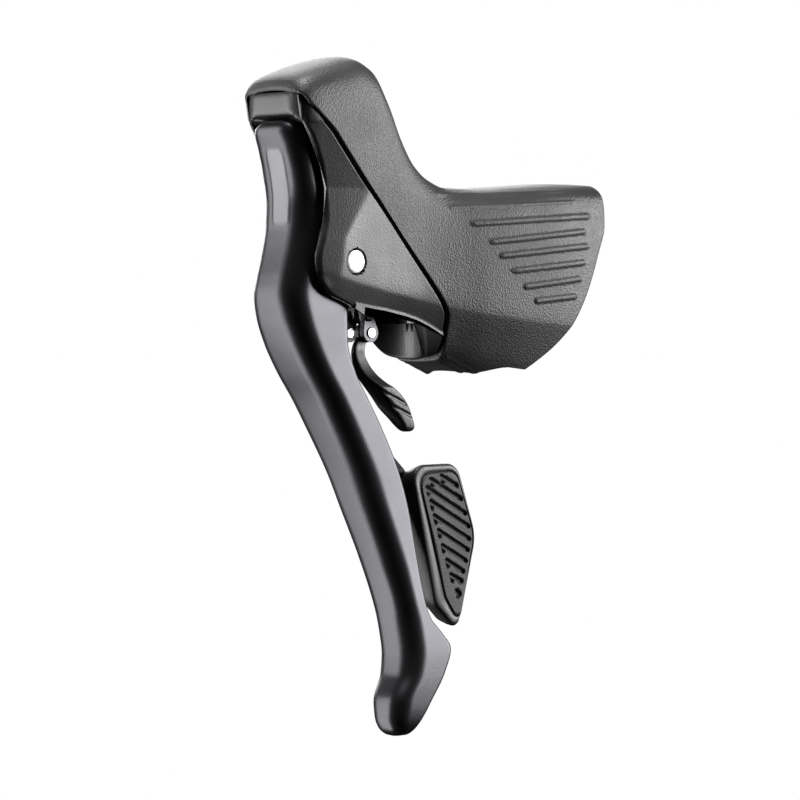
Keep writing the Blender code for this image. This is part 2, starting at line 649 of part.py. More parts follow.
def unit_spacer(name, side):
    """The sleeve on a long screw that keeps the plates apart."""
    place = (side * SCREW_X, 0, SCREW_Z)
    spacer = sleeve(name, place, (0, 1, 0), FRONT_PLATE[1] + 0.2, REAR_PLATE[0] - 0.2, 1.2, 1.65, 16)
    return finished(spacer, "steel", place)


def pawl_pin(name, spot, low, high):
    """A plain pin for a pawl."""
    return finished(rod(name, (spot[0], 0, spot[1]), (0, 1, 0), low, high, 1.0, 16), "steel",
                    (spot[0], 0, spot[1]))


# ---------------------------------------------------------------- brake lever
def blade_ring(z, inset_side, front, rear):
    """One section of the blade: round front corners, small rear ones."""
    middle = smooth(FLARE, 1, z)
    half = smooth(BLADE, 3, z) - inset_side
    depth = rear - front
    big = min(4.6, half * 0.72, depth * 0.55)
    small = min(0.9, depth * 0.2, half * 0.3)
    corners = ((middle - half, rear, small), (middle - half, front, big),
               (middle + half, front, big), (middle + half, rear, small))
    outline = fillet(corners, 3)
    return np.column_stack((outline, np.full(len(outline), z)))


def brake_lever():
    """The blade: a channel that is open to the rear, with ears round the pivot."""
    heights = np.unique(np.concatenate((BLADE[:, 0], (-47.0, -68.0, -79.5, -106.0))))[::-1]
    rings = [blade_ring(z, 0.0, smooth(BLADE, 1, z), smooth(BLADE, 2, z)) for z in heights]
    blade = skin("brake_lever", rings)
    inner = np.linspace(CHANNEL_TOP, CHANNEL_END, 26)
    rings = []
    for z in inner:
        front = smooth(BLADE, 1, z) + WEB
        rear = smooth(BLADE, 2, z)
        fade = np.clip((CHANNEL_FADE - z) / (CHANNEL_FADE - CHANNEL_END), 0.0, 1.0)
        front = front + (rear - front - 0.4) * fade ** 1.5
        middle = smooth(FLARE, 1, z)
        half = smooth(BLADE, 3, z) - FLANGE
        bevel = min(0.8, (rear - front) * 0.4 + 0.1)
        low, high = middle - half, middle + half
        rings.append([(low, rear + 6, z), (low, front + bevel, z), (low + bevel, front, z),
                      (high - bevel, front, z), (high, front + bevel, z), (high, rear + 6, z)])
    carve(blade, skin("channel", rings))
    carve(blade, rod("pin_hole", (0, 0, 0), (1, 0, 0), -20.0, 20.0, 4.3))
    carve(blade, rod("anchor_hole", (0, ANCHOR_Y, ANCHOR_Z), (1, 0, 0), -7.9, 7.9, 2.1, 16))
    return finished(blade, "blade_coat")


def pivot_bush(name, side):
    """A flanged brass bush in one of the blade's ears."""
    profile = ((6.4, 3.25), (9.25, 3.25), (9.25, 5.2), (8.75, 5.2), (8.75, 4.05), (6.4, 4.05))
    return finished(turned(name, profile, (0, 0, 0), (side, 0, 0), ring=True), "brass")


def cable_anchor():
    """The barrel that holds the brake cable's head, on two small trunnions."""
    profile = ((-7.6, 1.5), (-7.4, 1.8), (-5.8, 1.8), (-5.8, 2.5), (5.8, 2.5), (5.8, 1.8), (7.4, 1.8),
               (7.6, 1.5))
    place = (0, ANCHOR_Y, ANCHOR_Z)
    anchor = turned("cable_anchor", profile, place, (1, 0, 0), 16)
    carve(anchor, rod("cable_way", (BRAKE_CABLE_X, 0, ANCHOR_Z), (0, 1, 0), -20.0, 0.0, 0.95, 12))
    return finished(anchor, "steel", place)


def helix(centre, axis, low, high, radius, turns, steps=10, start=0.0):
    """Points of a coil round an axis."""
    first, second = across(axis)
    points = []
    for angle in np.linspace(start, start + 2 * math.pi * turns, int(turns * steps) + 1):
        along = low + (high - low) * (angle - start) / (2 * math.pi * turns)
        points.append(np.asarray(centre) + np.asarray(axis) * along
                      + first * (radius * math.cos(angle)) + second * (radius * math.sin(angle)))
    return points


def lever_return_spring():
    """The coil round the pivot pin that opens the lever."""
    radius = 4.05
    coil = helix((0, 0, 0), (1.0, 0, 0), -4.9, 4.9, radius, 6, start=math.pi / 2)
    path = [(-4.9, -9.6, -radius)] + coil + [(4.9, 7.2, -radius)]
    return finished(tube("lever_return_spring", path, 0.5, 6), "spring_steel")


# ---------------------------------------------------------------- hubs, pawls and reel
def hinge_lug(x_low, x_high, plate):
    """The lug at a hub's lower end that carries the paddle's hinge pin."""
    eye = link((HINGE_Y, HINGE_Z), (sum(plate) / 2.0, -12.0), 2.4, 0.8)
    return slab("lug", eye, "X", x_low, x_high)


def hub(name, plate, lug_x, outline, holes):
    """A stamped hub: a plate round the axle with arms, a hinge lug and its holes."""
    low, high = plate
    piece = slab(name, fillet(outline, 3), "Y", low, high)
    carve(piece, hinge_lug(*lug_x, plate), "UNION")
    carve(piece, rod("axle", (0, 0, AXLE_Z), (0, 1, 0), 0.0, 30.0, AXLE_RADIUS + 0.25))
    carve(piece, rod("hinge", (0, HINGE_Y, HINGE_Z), (1, 0, 0), lug_x[0] - 1, lug_x[1] + 1,
                     HINGE_RADIUS + 0.25, 16))
    for x, z, radius in holes:
        carve(piece, rod("hole", (x, 0, z), (0, 1, 0), low - 1.0, high + 1.0, radius, 16))
    return finished(piece, "steel", (0, 0, AXLE_Z))


def main_hub():
    """The hub that the large paddle turns, with an arm up for the drive pawl."""
    outline = ((-5.4, 9.0, 2.0), (-1.0, 9.0, 2.0), (3.9, 0.9, 2.5), (3.9, -2.7, 0.5), (6.9, -2.8, 1.1),
               (6.9, -5.3, 1.1), (4.0, -5.4, 0.5), (3.4, -8.6, 2.5), (-1.6, -9.0, 1.2), (-2.2, -14.8, 1.2),
               (-5.5, -14.8, 1.2), (-5.4, -3.0, 2.0))
    return hub("main_hub", MAIN_HUB, (-4.7, -3.1), outline, ((*DRIVE_PIN, 1.25),))


def release_hub():
    """The hub that the small paddle turns, with a finger up towards the hold pawl."""
    outline = ((-3.4, 0.8, 2.5), (1.8, 1.0, 0.8), (2.0, 3.8, 0.8), (4.0, 3.4, 0.8), (4.8, -6.0, 2.5),
               (5.7, -14.8, 1.2), (2.5, -14.8, 1.2), (1.4, -8.9, 1.2), (-3.4, -8.6, 2.5), (-4.0, -5.4, 0.5),
               (-6.9, -5.3, 1.1), (-6.9, -2.8, 1.1), (-4.0, -2.7, 0.5))
    return hub("release_hub", RELEASE_HUB, (3.3, 4.9), outline, ())


def hinge_pin(name, low, high):
    """A pin that joins a paddle's eye to its hub."""
    place = (0, HINGE_Y, HINGE_Z)
    return finished(rod(name, place, (1, 0, 0), low, high, HINGE_RADIUS, 16), "steel", place)


def pawl(name, pin, nose_angle, nose_radius, place):
    """A pawl from its pin to a nose beside the ratchet's teeth."""
    nose = np.array((0.0, AXLE_Z)) + nose_radius * np.array((math.cos(nose_angle), math.sin(nose_angle)))
    reach = nose + 0.6 * (nose - (0.0, AXLE_Z)) / nose_radius
    piece = slab(name, link(pin, reach, 2.0, 0.6), "Y", *place)
    carve(piece, rod("hole", (pin[0], 0, pin[1]), (0, 1, 0), place[0] - 1, place[1] + 1, 1.25, 16))
    return finished(piece, "steel", (pin[0], 0, pin[1]))


def ratchet_wheel():
    """The toothed wheel that the pawls work on."""
    teeth, tip, root = 20, 7.0, 6.1
    outline = []
    for tooth in range(teeth):
        angle = 2.0 * math.pi * tooth / teeth
        for share, radius in ((0.0, root), (0.72, tip), (0.92, tip)):
            turn = angle + share * 2.0 * math.pi / teeth
            outline.append((radius * math.cos(turn), AXLE_Z + radius * math.sin(turn)))
    wheel = slab("ratchet_wheel", outline, "Y", *RATCHET)
    carve(wheel, rod("axle", (0, 0, AXLE_Z), (0, 1, 0), 0.0, 30.0, AXLE_RADIUS + 0.25))
    return finished(wheel, "steel", (0, 0, AXLE_Z))


def cable_reel():
    """The grooved reel that winds the shift cable."""
    low, high = REEL
    bore = AXLE_RADIUS + 0.25
    profile = ((low, bore), (low, 7.0), (low + 0.9, 7.0), (low + 1.6, 4.4), (high - 1.6, 4.4),
               (high - 0.9, 7.0), (high, 7.0), (high, bore))
    reel = turned("cable_reel", profile, (0, 0, AXLE_Z), (0, 1, 0), 28, ring=True)
    carve(reel, rod("cable_head", (3.9, 0, AXLE_Z - 1.6), (0, 1, 0), high - 3.0, high + 1.0, 1.3, 12))
    return finished(reel, "brass", (0, 0, AXLE_Z))


def reel_spring():
    """The coil that turns the reel back as cable is let out."""
    coil = helix((0, 0, AXLE_Z), (0, 1.0, 0), 21.9, 24.2, 3.6, 3.5)
    return finished(tube("reel_spring", coil + [(-3.9, 24.2, AXLE_Z + 5.0)], 0.35, 6), "spring_steel",
                    (0, 0, AXLE_Z))


def hub_spring(name, side, plate, leg):
    """A hairpin coil on a spacer that swings a hub back; its leg is a list of (x, z)."""
    low, high = plate
    radius = 2.1
    coil = helix((side * SCREW_X, 0, SCREW_Z), (0, 1.0, 0), low + 0.4, high - 0.4, radius, 2, 8)
    path = [(side * SCREW_X + radius, low + 0.4, 7.4)] + coil + [(x, high - 0.4, z) for x, z in leg]
    return finished(tube(name, path, 0.25, 5), "spring_steel", (side * SCREW_X, 0, SCREW_Z))


# ---------------------------------------------------------------- paddles
def arm_rings(stations):
    """Rectangular sections with small bevels, down an arm."""
    rings = []
    for z, x_low, x_high, y_low, y_high in stations:
        cut = 0.22 * min(x_high - x_low, y_high - y_low)
        rings.append([(x_low + cut, y_low, z), (x_high - cut, y_low, z), (x_high, y_low + cut, z),
                      (x_high, y_high - cut, z), (x_high - cut, y_high, z), (x_low + cut, y_high, z),
                      (x_low, y_high - cut, z), (x_low, y_low + cut, z)])
    return rings


def hinged_arm(name, stations, eye_x):
    """An arm with the round eye that hinges on a hub."""
    arm = skin(name, arm_rings(stations))
    place = (0, HINGE_Y, HINGE_Z)
    carve(arm, rod("eye", place, (1, 0, 0), eye_x[0], eye_x[1], 2.5), "UNION")
    carve(arm, rod("hinge", place, (1, 0, 0), eye_x[0] - 1, eye_x[1] + 1, HINGE_RADIUS + 0.25, 16))
    return arm


def outline_inset(outline, amount):
    """An outline moved inward along its own normals."""
    ways = np.roll(outline, -1, axis=0) - np.roll(outline, 1, axis=0)
    ways /= np.linalg.norm(ways, axis=1)[:, None]
    normals = np.stack((ways[:, 1], -ways[:, 0]), axis=-1)
    area = np.sum(outline[:, 0] * np.roll(outline[:, 1], -1) - np.roll(outline[:, 0], -1) * outline[:, 1])
    return outline - math.copysign(amount, area) * normals


def main_arm():
    """The arm from the main hinge down to the large paddle."""
    arm = hinged_arm("main_arm", MAIN_ARM, (-6.6, -5.0))
    carve(arm, rod("screw", (0, 25.8, -61.0), (1, 0, 0), -4.0, 9.0, 1.5, 16))
    return finished(arm, "blade_coat", (0, HINGE_Y, HINGE_Z))


def main_paddle():
    """The large paddle's frame, with a shallow bed for its face pad."""
    outline = fillet(MAIN_FRAME)
    middle = outline.mean(axis=0)
    rings = []
    for x, share in ((5.4, 0.82), (8.2, 0.93), (9.4, 0.99), (11.4, 1.0), (12.0, 0.975)):
        loop = middle + (outline - middle) * share
        rings.append(np.column_stack((np.full(len(loop), x), loop)))
    paddle = skin("main_paddle", rings)
    carve(paddle, slab("bed", fillet(MAIN_FACE), "X", 10.9, 14.0))
    carve(paddle, rod("screw", (0, 25.8, -61.0), (1, 0, 0), 4.0, 9.6, 1.5, 16))
    return finished(paddle, "paddle_plastic", (0, HINGE_Y, HINGE_Z))


def main_paddle_pad():
    """The face pad that the finger pushes."""
    outline = fillet(MAIN_FACE)
    rings = []
    for x, inset in ((11.2, CLEARANCE), (12.0, CLEARANCE), (12.4, 0.7)):
        loop = outline_inset(outline, inset)
        rings.append(np.column_stack((np.full(len(loop), x), loop)))
    return finished(skin("main_paddle_pad", rings), "pad_rubber", (0, HINGE_Y, HINGE_Z))


def paddle_screw():
    """The screw that holds the large paddle to its arm."""
    profile = ((0.3, 2.0), (0.5, 2.4), (1.7, 2.4), (1.7, 1.2), (9.0, 1.2))
    return finished(turned("paddle_screw", profile, (0, 25.8, -61.0), (1, 0, 0), 16), "steel",
                    (0, HINGE_Y, HINGE_Z))


def release_paddle():
    """The small paddle, one moulding with its arm."""
    paddle = hinged_arm("release_paddle", RELEASE_ARM, (1.3, 3.0))
    outline = fillet(RELEASE_FACE)
    shallow = -1.0 + 0.45 * (-31.0 - outline[:, 1]).clip(0.0, 20.0)
    back = np.column_stack((shallow, outline))
    face = np.column_stack((np.full(len(outline), 8.0), outline))
    carve(paddle, skin("head", (back, face)), "UNION")
    return finished(paddle, "paddle_plastic", (0, HINGE_Y, HINGE_Z))


def build():
    """Makes every piece of the lever."""
    clear_scene()
    rubber_hood()
    bracket_body()
    pivot_pin()
    pivot_circlip()
    clamp_band()
    clamp_bolt()
    clamp_nut()
    reach_screw()
    brake_cable_guide()
    shift_cable_guide()
    unit_plate("unit_front_plate", FRONT_PLATE)
    unit_plate("unit_rear_plate", REAR_PLATE)
    shift_axle()
    axle_nut()
    axle_washer()
    for side, label in ((-1.0, "inboard"), (1.0, "outboard")):
        unit_screw("unit_screw_" + label, side)
        unit_spacer("unit_spacer_" + label, side)
        pivot_bush("pivot_bush_" + label, side)
    pawl_pin("hold_pawl_pin", HOLD_PIN, FRONT_PLATE[0] - 0.3, REAR_PLATE[1] + 0.3)
    brake_lever()
    cable_anchor()
    lever_return_spring()
    main_hub()
    hinge_pin("main_hinge_pin", -6.8, -2.8)
    pawl_pin("drive_pawl_pin", DRIVE_PIN, MAIN_HUB[0] - 0.2, RATCHET[1] + 0.3)
    pawl("drive_pawl", DRIVE_PIN, math.radians(124.0), 7.8, RATCHET)
    release_hub()
    hinge_pin("release_hinge_pin", 1.0, 5.3)
    pawl("hold_pawl", HOLD_PIN, math.radians(62.0), 7.5, RATCHET)
    ratchet_wheel()
    cable_reel()
    reel_spring()
    hub_spring("main_return_spring", 1.0, MAIN_HUB, ((9.0, -5.6), (8.4, -6.2), (5.2, -6.2)))
    hub_spring("release_return_spring", -1.0, RELEASE_HUB, ((-5.4, -2.2),))
    main_arm()
    main_paddle()
    main_paddle_pad()
    paddle_screw()
    release_paddle()


build()
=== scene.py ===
# %% [markdown]
# # A brake and shift lever for a drop handlebar
# The measured frame holds every solid of the lever, in metres, with the handlebar
# clamp's centre at the origin. The outer shells are drawn again here as fine surfaces,
# and every piece gets its real finish.

# %% Load the measured frame
import json
import math

import bpy
import numpy as np
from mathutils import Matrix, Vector


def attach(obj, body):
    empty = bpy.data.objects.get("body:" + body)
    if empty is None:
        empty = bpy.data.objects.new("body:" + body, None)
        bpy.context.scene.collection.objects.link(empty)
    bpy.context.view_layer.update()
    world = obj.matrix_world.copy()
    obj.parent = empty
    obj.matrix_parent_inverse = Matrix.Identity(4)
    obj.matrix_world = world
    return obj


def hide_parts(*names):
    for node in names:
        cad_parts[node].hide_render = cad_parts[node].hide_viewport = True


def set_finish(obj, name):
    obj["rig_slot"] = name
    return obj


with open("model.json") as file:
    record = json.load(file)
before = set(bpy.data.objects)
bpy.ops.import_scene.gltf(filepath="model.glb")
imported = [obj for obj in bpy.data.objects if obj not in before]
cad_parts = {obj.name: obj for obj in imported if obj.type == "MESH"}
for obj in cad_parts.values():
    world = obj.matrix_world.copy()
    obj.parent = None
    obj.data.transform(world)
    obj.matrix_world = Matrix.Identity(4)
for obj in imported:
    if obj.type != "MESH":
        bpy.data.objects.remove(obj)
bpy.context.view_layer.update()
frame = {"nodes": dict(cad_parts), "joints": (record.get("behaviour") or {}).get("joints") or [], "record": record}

brake_joint = next(joint for joint in frame["joints"] if joint["name"] == "brake_pull")
PIVOT = np.array(brake_joint["pos_m"]) * 1000.0    # mm: the origin of every table below
print("brake pivot, mm:", PIVOT)

# %% [markdown]
# ## Drawing in numpy
# A moulded shell is easiest to describe as a surface: rows run along it, columns run
# round it, and each point comes from a formula. These helpers turn such grids into
# closed Blender meshes. Building them by hand in edit mode would work too, but a
# formula can be changed by one number.


# %% Mesh helpers
NO_TRIANGLES = np.zeros((0, 3), dtype=int)


def weld(*parts):
    """Joins (points, quads, triangles) parts into one set with running numbers."""
    points, quads, triangles, start = [], [], [], 0
    for part_points, part_quads, part_triangles in parts:
        points.append(part_points)
        quads.append(part_quads + start)
        triangles.append(part_triangles + start)
        start += len(part_points)
    return np.concatenate(points), np.concatenate(quads), np.concatenate(triangles)


def outward(points, quads, triangles):
    """Turns the faces outward: the sum of the corners' triple products must be positive."""
    centred = points - points.mean(axis=0)
    volume = 0.0
    for a, b, c in ((0, 1, 2), (0, 2, 3)):
        volume += np.sum(centred[quads[:, a]] * np.cross(centred[quads[:, b]], centred[quads[:, c]]))
    if len(triangles):
        volume += np.sum(centred[triangles[:, 0]]
                         * np.cross(centred[triangles[:, 1]], centred[triangles[:, 2]]))
    if volume < 0.0:
        return points, quads[:, ::-1], triangles[:, ::-1]
    return points, quads, triangles


def loft(grid, looped=False):
    """Faces of a grid of (rows, columns, 3) whose columns close round.

    Rows close on each other too when looped; otherwise each end gets a pole at its
    ring's middle.
    """
    rows, columns = grid.shape[:2]
    here = np.arange(rows * columns).reshape(rows, columns)
    beside = np.roll(here, -1, axis=1)
    if looped:
        quads = np.stack((here, beside, np.roll(beside, -1, axis=0), np.roll(here, -1, axis=0)),
                         axis=-1)
        return outward(grid.reshape(-1, 3), quads.reshape(-1, 4), NO_TRIANGLES)
    quads = np.stack((here[:-1], beside[:-1], beside[1:], here[1:]), axis=-1).reshape(-1, 4)
    poles = np.stack((grid[0].mean(axis=0), grid[-1].mean(axis=0)))
    first = np.full(columns, rows * columns)
    fans = np.concatenate((np.stack((first, beside[0], here[0]), axis=-1),
                           np.stack((first + 1, here[-1], beside[-1]), axis=-1)))
    return outward(np.concatenate((grid.reshape(-1, 3), poles)), quads, fans)


def plate(face, back):
    """Faces of a closed plate between two grids of the same shape."""
    rows, columns = face.shape[:2]
    shift = rows * columns
    here = np.arange(shift).reshape(rows, columns)
    near = np.stack((here[:-1, :-1], here[:-1, 1:], here[1:, 1:], here[1:, :-1]), axis=-1)
    near = near.reshape(-1, 4)
    rim = np.concatenate((here[0, :-1], here[:-1, -1], here[-1, :0:-1], here[:0:-1, 0]))
    after = np.roll(rim, -1)
    edge = np.stack((rim, rim + shift, after + shift, after), axis=-1)
    points = np.concatenate((face.reshape(-1, 3), back.reshape(-1, 3)))
    quads = np.concatenate((near, near[:, (0, 3, 2, 1)] + shift, edge))
    return outward(points, quads, NO_TRIANGLES)


def new_object(name, data):
    """An object in the scene that carries the data."""
    item = bpy.data.objects.new(name, data)
    bpy.context.scene.collection.objects.link(item)
    return item


def piece(name, body, slot, nodes, shape, sharp=50.0):
    """Puts a shape in pivot millimetres into a mesh in metres that rides on a body."""
    points, quads, triangles = shape
    mesh = bpy.data.meshes.new(name)
    mesh.vertices.add(len(points))
    mesh.vertices.foreach_set("co", ((points + PIVOT) * 0.001).ravel())
    mesh.loops.add(quads.size + triangles.size)
    mesh.loops.foreach_set("vertex_index", np.concatenate((quads.ravel(), triangles.ravel())))
    totals = np.concatenate((np.full(len(quads), 4), np.full(len(triangles), 3)))
    mesh.polygons.add(len(totals))
    mesh.polygons.foreach_set("loop_start", np.concatenate(((0,), np.cumsum(totals)[:-1])))
    mesh.update(calc_edges=True)
    mesh.validate()
    mesh.shade_smooth()
    mesh.set_sharp_from_angle(angle=math.radians(sharp))
    item = new_object(name, mesh)
    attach(item, body)
    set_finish(item, slot)
    if nodes:
        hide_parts(*nodes)
    print(name, len(points), "points,", 2 * len(quads) + len(triangles), "triangles")
    return item


# %% [markdown]
# ## Curves and rounding
# A table of a few measured stations becomes a smooth curve with cubic pieces that never
# overshoot. Moulded edges are never sharp, so one function gives the drop of a
# quarter-round edge, and another the height of a rounded bar.


# %% Curve helpers
def smooth(table, column, at):
    """Cubic Hermite curve through table rows, with harmonic-mean slopes at each row."""
    order = np.argsort(table[:, 0])
    known, value = table[order, 0], table[order, column]
    step = np.diff(known)
    slope = np.diff(value) / step
    grade = np.concatenate((slope[:1], np.zeros(len(slope) - 1), slope[-1:]))
    flat = slope[:-1] * slope[1:] <= 0.0
    safe = np.where(flat, 1.0, slope[:-1] + slope[1:])
    grade[1:-1] = np.where(flat, 0.0, 2.0 * slope[:-1] * slope[1:] / safe)
    at = np.clip(np.asarray(at, dtype=float), known[0], known[-1])
    i = np.clip(np.searchsorted(known, at) - 1, 0, len(step) - 1)
    t = (at - known[i]) / step[i]
    return ((1 + 2 * t) * (1 - t) ** 2 * value[i] + t * (1 - t) ** 2 * step[i] * grade[i]
            + t ** 2 * (3 - 2 * t) * value[i + 1] - t ** 2 * (1 - t) * step[i] * grade[i + 1])


def along(points, at):
    """Point of a smooth curve through points, at shares 0 to 1 of its length."""
    points = np.asarray(points, dtype=float)
    length = np.concatenate(((0.0,), np.cumsum(np.linalg.norm(np.diff(points, axis=0), axis=1))))
    table = np.column_stack((length / length[-1], points))
    return np.stack([smooth(table, k, at) for k in range(1, table.shape[1])], axis=-1)


def edge_drop(distance, radius):
    """Quarter-round edge: radius less the height of a circle at that distance."""
    inside = np.clip(radius - distance, 0.0, radius)
    return radius - np.sqrt(radius ** 2 - inside ** 2)


def segment_distance(points, segments):
    """Shortest distance in a plane from points (..., 2) to a list of (a, b, c, d) segments."""
    segments = np.asarray(segments, dtype=float)
    start, stop = segments[:, :2], segments[:, 2:]
    ways = stop - start
    gap = points[..., None, :] - start
    share = np.clip(np.sum(gap * ways, axis=-1) / np.sum(ways ** 2, axis=-1), 0.0, 1.0)
    return np.linalg.norm(gap - share[..., None] * ways, axis=-1).min(axis=-1)


def bar_height(distance, half_width):
    """Rounded bar, 1 on its line: square root of 1 less the squared share of its half-width."""
    return np.sqrt(np.clip(1.0 - (distance / half_width) ** 2, 0.0, 1.0))


def fillet(corners, steps=12):
    """Outline from (a, b, radius) corners, each one rounded by an arc."""
    outline = []
    for i, (a, b, radius) in enumerate(corners):
        here = np.array((a, b))
        before = np.array(corners[i - 1][:2]) - here
        after = np.array(corners[(i + 1) % len(corners)][:2]) - here
        before /= np.linalg.norm(before)
        after /= np.linalg.norm(after)
        half = math.acos(np.dot(before, after)) / 2.0
        centre = here + (before + after) / np.linalg.norm(before + after) * (radius / math.sin(half))
        start = here + before * (radius / math.tan(half)) - centre
        turn = math.copysign(math.pi - 2.0 * half, before[1] * after[0] - before[0] * after[1])
        angles = turn * np.linspace(0.0, 1.0, steps + 1)
        outline.append(centre + np.stack((np.cos(angles) * start[0] - np.sin(angles) * start[1],
                                          np.sin(angles) * start[0] + np.cos(angles) * start[1]), axis=-1))
    return np.concatenate(outline)


def polar(outline, centre, angles):
    """Radius of a closed outline round a centre, at the given angles."""
    dense = outline[:, None] + np.linspace(0.0, 1.0, 40, endpoint=False)[:, None] * (
        np.roll(outline, -1, axis=0) - outline)[:, None]
    spoke = dense.reshape(-1, 2) - centre
    turn = np.arctan2(spoke[:, 1], spoke[:, 0])
    order = np.argsort(turn)
    return np.interp(angles, turn[order], np.linalg.norm(spoke, axis=1)[order], period=2.0 * math.pi)


# %% [markdown]
# ## The hand-shaped body
# The hood and the bracket share one outer form. Its section across the lever is a closed
# quadratic B-spline round fourteen control corners, and the corners change along the
# lever as the table says: a tall horn at the front, a valley, and a grip that widens
# towards the bar.

# %% Outer form
FORM = np.array((                          # y, top, crease, bottom, half-width, shoulder drop
    (-18.0, 42.6, -3.0, -14.0, 9.8, 5.0),
    (-17.0, 45.0, -3.0, -14.0, 11.5, 6.0),
    (-15.0, 46.5, -3.0, -14.3, 12.8, 7.0),
    (-11.0, 48.2, -3.2, -15.0, 13.2, 8.0),
    (-4.0, 50.4, -4.6, -17.6, 13.3, 9.0),
    (2.0, 51.6, -6.0, -18.9, 13.2, 9.5),
    (7.5, 49.7, -7.1, -19.9, 13.1, 10.5),
    (12.0, 43.6, -8.0, -20.7, 13.0, 11.5),
    (16.5, 34.6, -8.8, -21.5, 13.0, 12.0),
    (21.5, 26.9, -9.7, -22.4, 13.1, 11.0),
    (27.0, 22.4, -10.7, -23.5, 13.5, 9.5),
    (34.0, 20.0, -11.9, -25.2, 14.4, 8.5),
    (43.0, 19.8, -13.2, -28.2, 15.8, 8.0),
    (55.0, 20.7, -14.6, -31.6, 17.0, 7.0),
    (68.0, 21.6, -15.7, -34.6, 17.6, 6.0),
    (88.0, 22.4, -16.9, -38.4, 17.2, 6.0),
))
NOSE = FORM[0, 0]
CORNERS = 14
SEAM = np.array(((-18.5, 42.2), (-16.9, 41.1), (-15.4, 39.3), (-12.4, 36.6), (-8.3, 33.1), (-4.4, 28.5),
                 (2.5, 20.5), (11.1, 11.3), (19.2, 1.9), (25.2, -5.1), (29.0, -10.1), (30.6, -13.2),
                 (31.0, -17.0), (31.4, -20.6), (31.8, -27.0)))
REAR = np.array(((81.0, 30.0), (82.4, 16.0), (82.2, 10.5), (80.2, 4.5), (75.6, -7.0), (70.9, -14.8),
                 (66.2, -20.2), (60.6, -24.8), (55.4, -28.4), (49.0, -32.4)))
BAR_TILT = math.radians(33.0)
BAR_HOLE = 12.5                            # the hood's own hole round the bar, radius


def outer_form(y, u, inset):
    """Point at station y and place u (0 to 14) round the section, moved inward by inset.

    With t the part of u after the decimal point, and A, B, C the corners before, at and
    after it, the point is A(1-t)^2/2 + B(1/2 + t(1-t)) + C t^2/2.
    """
    y, u = np.broadcast_arrays(np.asarray(y, dtype=float), u)
    top, crease, bottom, width, drop = (smooth(FORM, k, y) for k in range(1, 6))
    rise = smooth(FORM, 1, y + 0.5) - smooth(FORM, 1, y - 0.5)
    fall = smooth(FORM, 3, y + 0.5) - smooth(FORM, 3, y - 0.5)
    top = top - inset * np.sqrt(1.0 + rise ** 2).clip(1.0, 2.0)
    bottom = bottom + inset * np.sqrt(1.0 + fall ** 2)
    width = width - inset
    low = width * 0.66
    x = np.stack((width * 0.42, width * 0.84, width, width, width - 0.9, low, low * 0.5), axis=-1)
    z = np.stack((top, top - drop * 0.22, top - drop, crease + 2.0, crease - 1.4, bottom + 0.8, bottom),
                 axis=-1)
    x = np.concatenate((x, -x[..., ::-1]), axis=-1)
    z = np.concatenate((z, z[..., ::-1]), axis=-1)
    i = np.floor(u).astype(int) % CORNERS
    t = u - np.floor(u)
    weights = (0.5 * (1 - t) ** 2, 0.5 + t * (1 - t), 0.5 * t ** 2)
    at = [((i + k) % CORNERS)[..., None] for k in (-1, 0, 1)]
    section = [sum(w * np.take_along_axis(c, a, axis=-1)[..., 0] for w, a in zip(weights, at))
               for c in (x, z)]
    pushed = y + inset * np.clip(1.0 - (y - NOSE) / 10.0, 0.0, 1.0)
    return np.stack((section[0], pushed, section[1]), axis=-1)


def halve(low, high, too_low, rounds=34):
    """Bisection on whole arrays: halves the span until too_low changes inside it."""
    for _ in range(rounds):
        middle = (low + high) / 2.0
        under = too_low(middle)
        low, high = np.where(under, middle, low), np.where(under, high, middle)
    return (low + high) / 2.0


def seam_y(z):
    """Where the hood's front edge is at height z."""
    return smooth(SEAM[:, ::-1], 1, z)


def rear_y(x, z):
    """Where the hood ends: its cut rear end, or the handlebar's front where that comes first."""
    cut = smooth(REAR[:, ::-1], 1, z)
    axis = -PIVOT[1] + (z + PIVOT[2]) * math.tan(BAR_TILT)
    bar = axis - np.sqrt(np.clip(BAR_HOLE ** 2 - x ** 2, 0.0, None)) / math.cos(BAR_TILT)
    return np.minimum(cut, np.where(np.abs(x) < BAR_HOLE, bar, 1000.0))


def spread_columns(count, station, side_weight):
    """Places round the section, evenly spaced by length but closer on the sides."""
    u = np.linspace(0.0, CORNERS, 4001)
    ring = outer_form(np.full_like(u, station), u, 0.0)
    step = np.linalg.norm(np.diff(ring, axis=0), axis=1)
    side = np.abs(ring[1:, 0]) > 0.85 * np.abs(ring[:, 0]).max()
    length = np.concatenate(((0.0,), np.cumsum(step * np.where(side, side_weight, 1.0))))
    return np.interp(np.arange(count) * length[-1] / count, length, u)


def grid_normals(grid):
    """Unit normals: the cross product of the steps along and round the grid, facing out."""
    down = np.gradient(grid, axis=0)
    around = np.roll(grid, -1, axis=1) - np.roll(grid, 1, axis=1)
    normal = np.cross(down, around)
    normal /= np.maximum(np.linalg.norm(normal, axis=-1, keepdims=True), 1e-9)
    spoke = grid - grid.mean(axis=1, keepdims=True)
    return normal * np.sign(np.mean(np.sum(normal * spoke, axis=-1)))


print("form at the valley, half-width and top:", smooth(FORM, 4, 34.0), smooth(FORM, 1, 34.0))

# %% [markdown]
# ## Rubber hood
# The hood is one stretchy moulding that slips over the bracket. Its front edge follows
# the seam, its rear end is cut along the bar and scooped out where the bar passes. Each
# column of the grid starts exactly on the seam and stops exactly on the rear cut, so the
# edges are clean without any cutting. Raised strips on the grip are added along the
# surface's own normal, as the mould would form them.

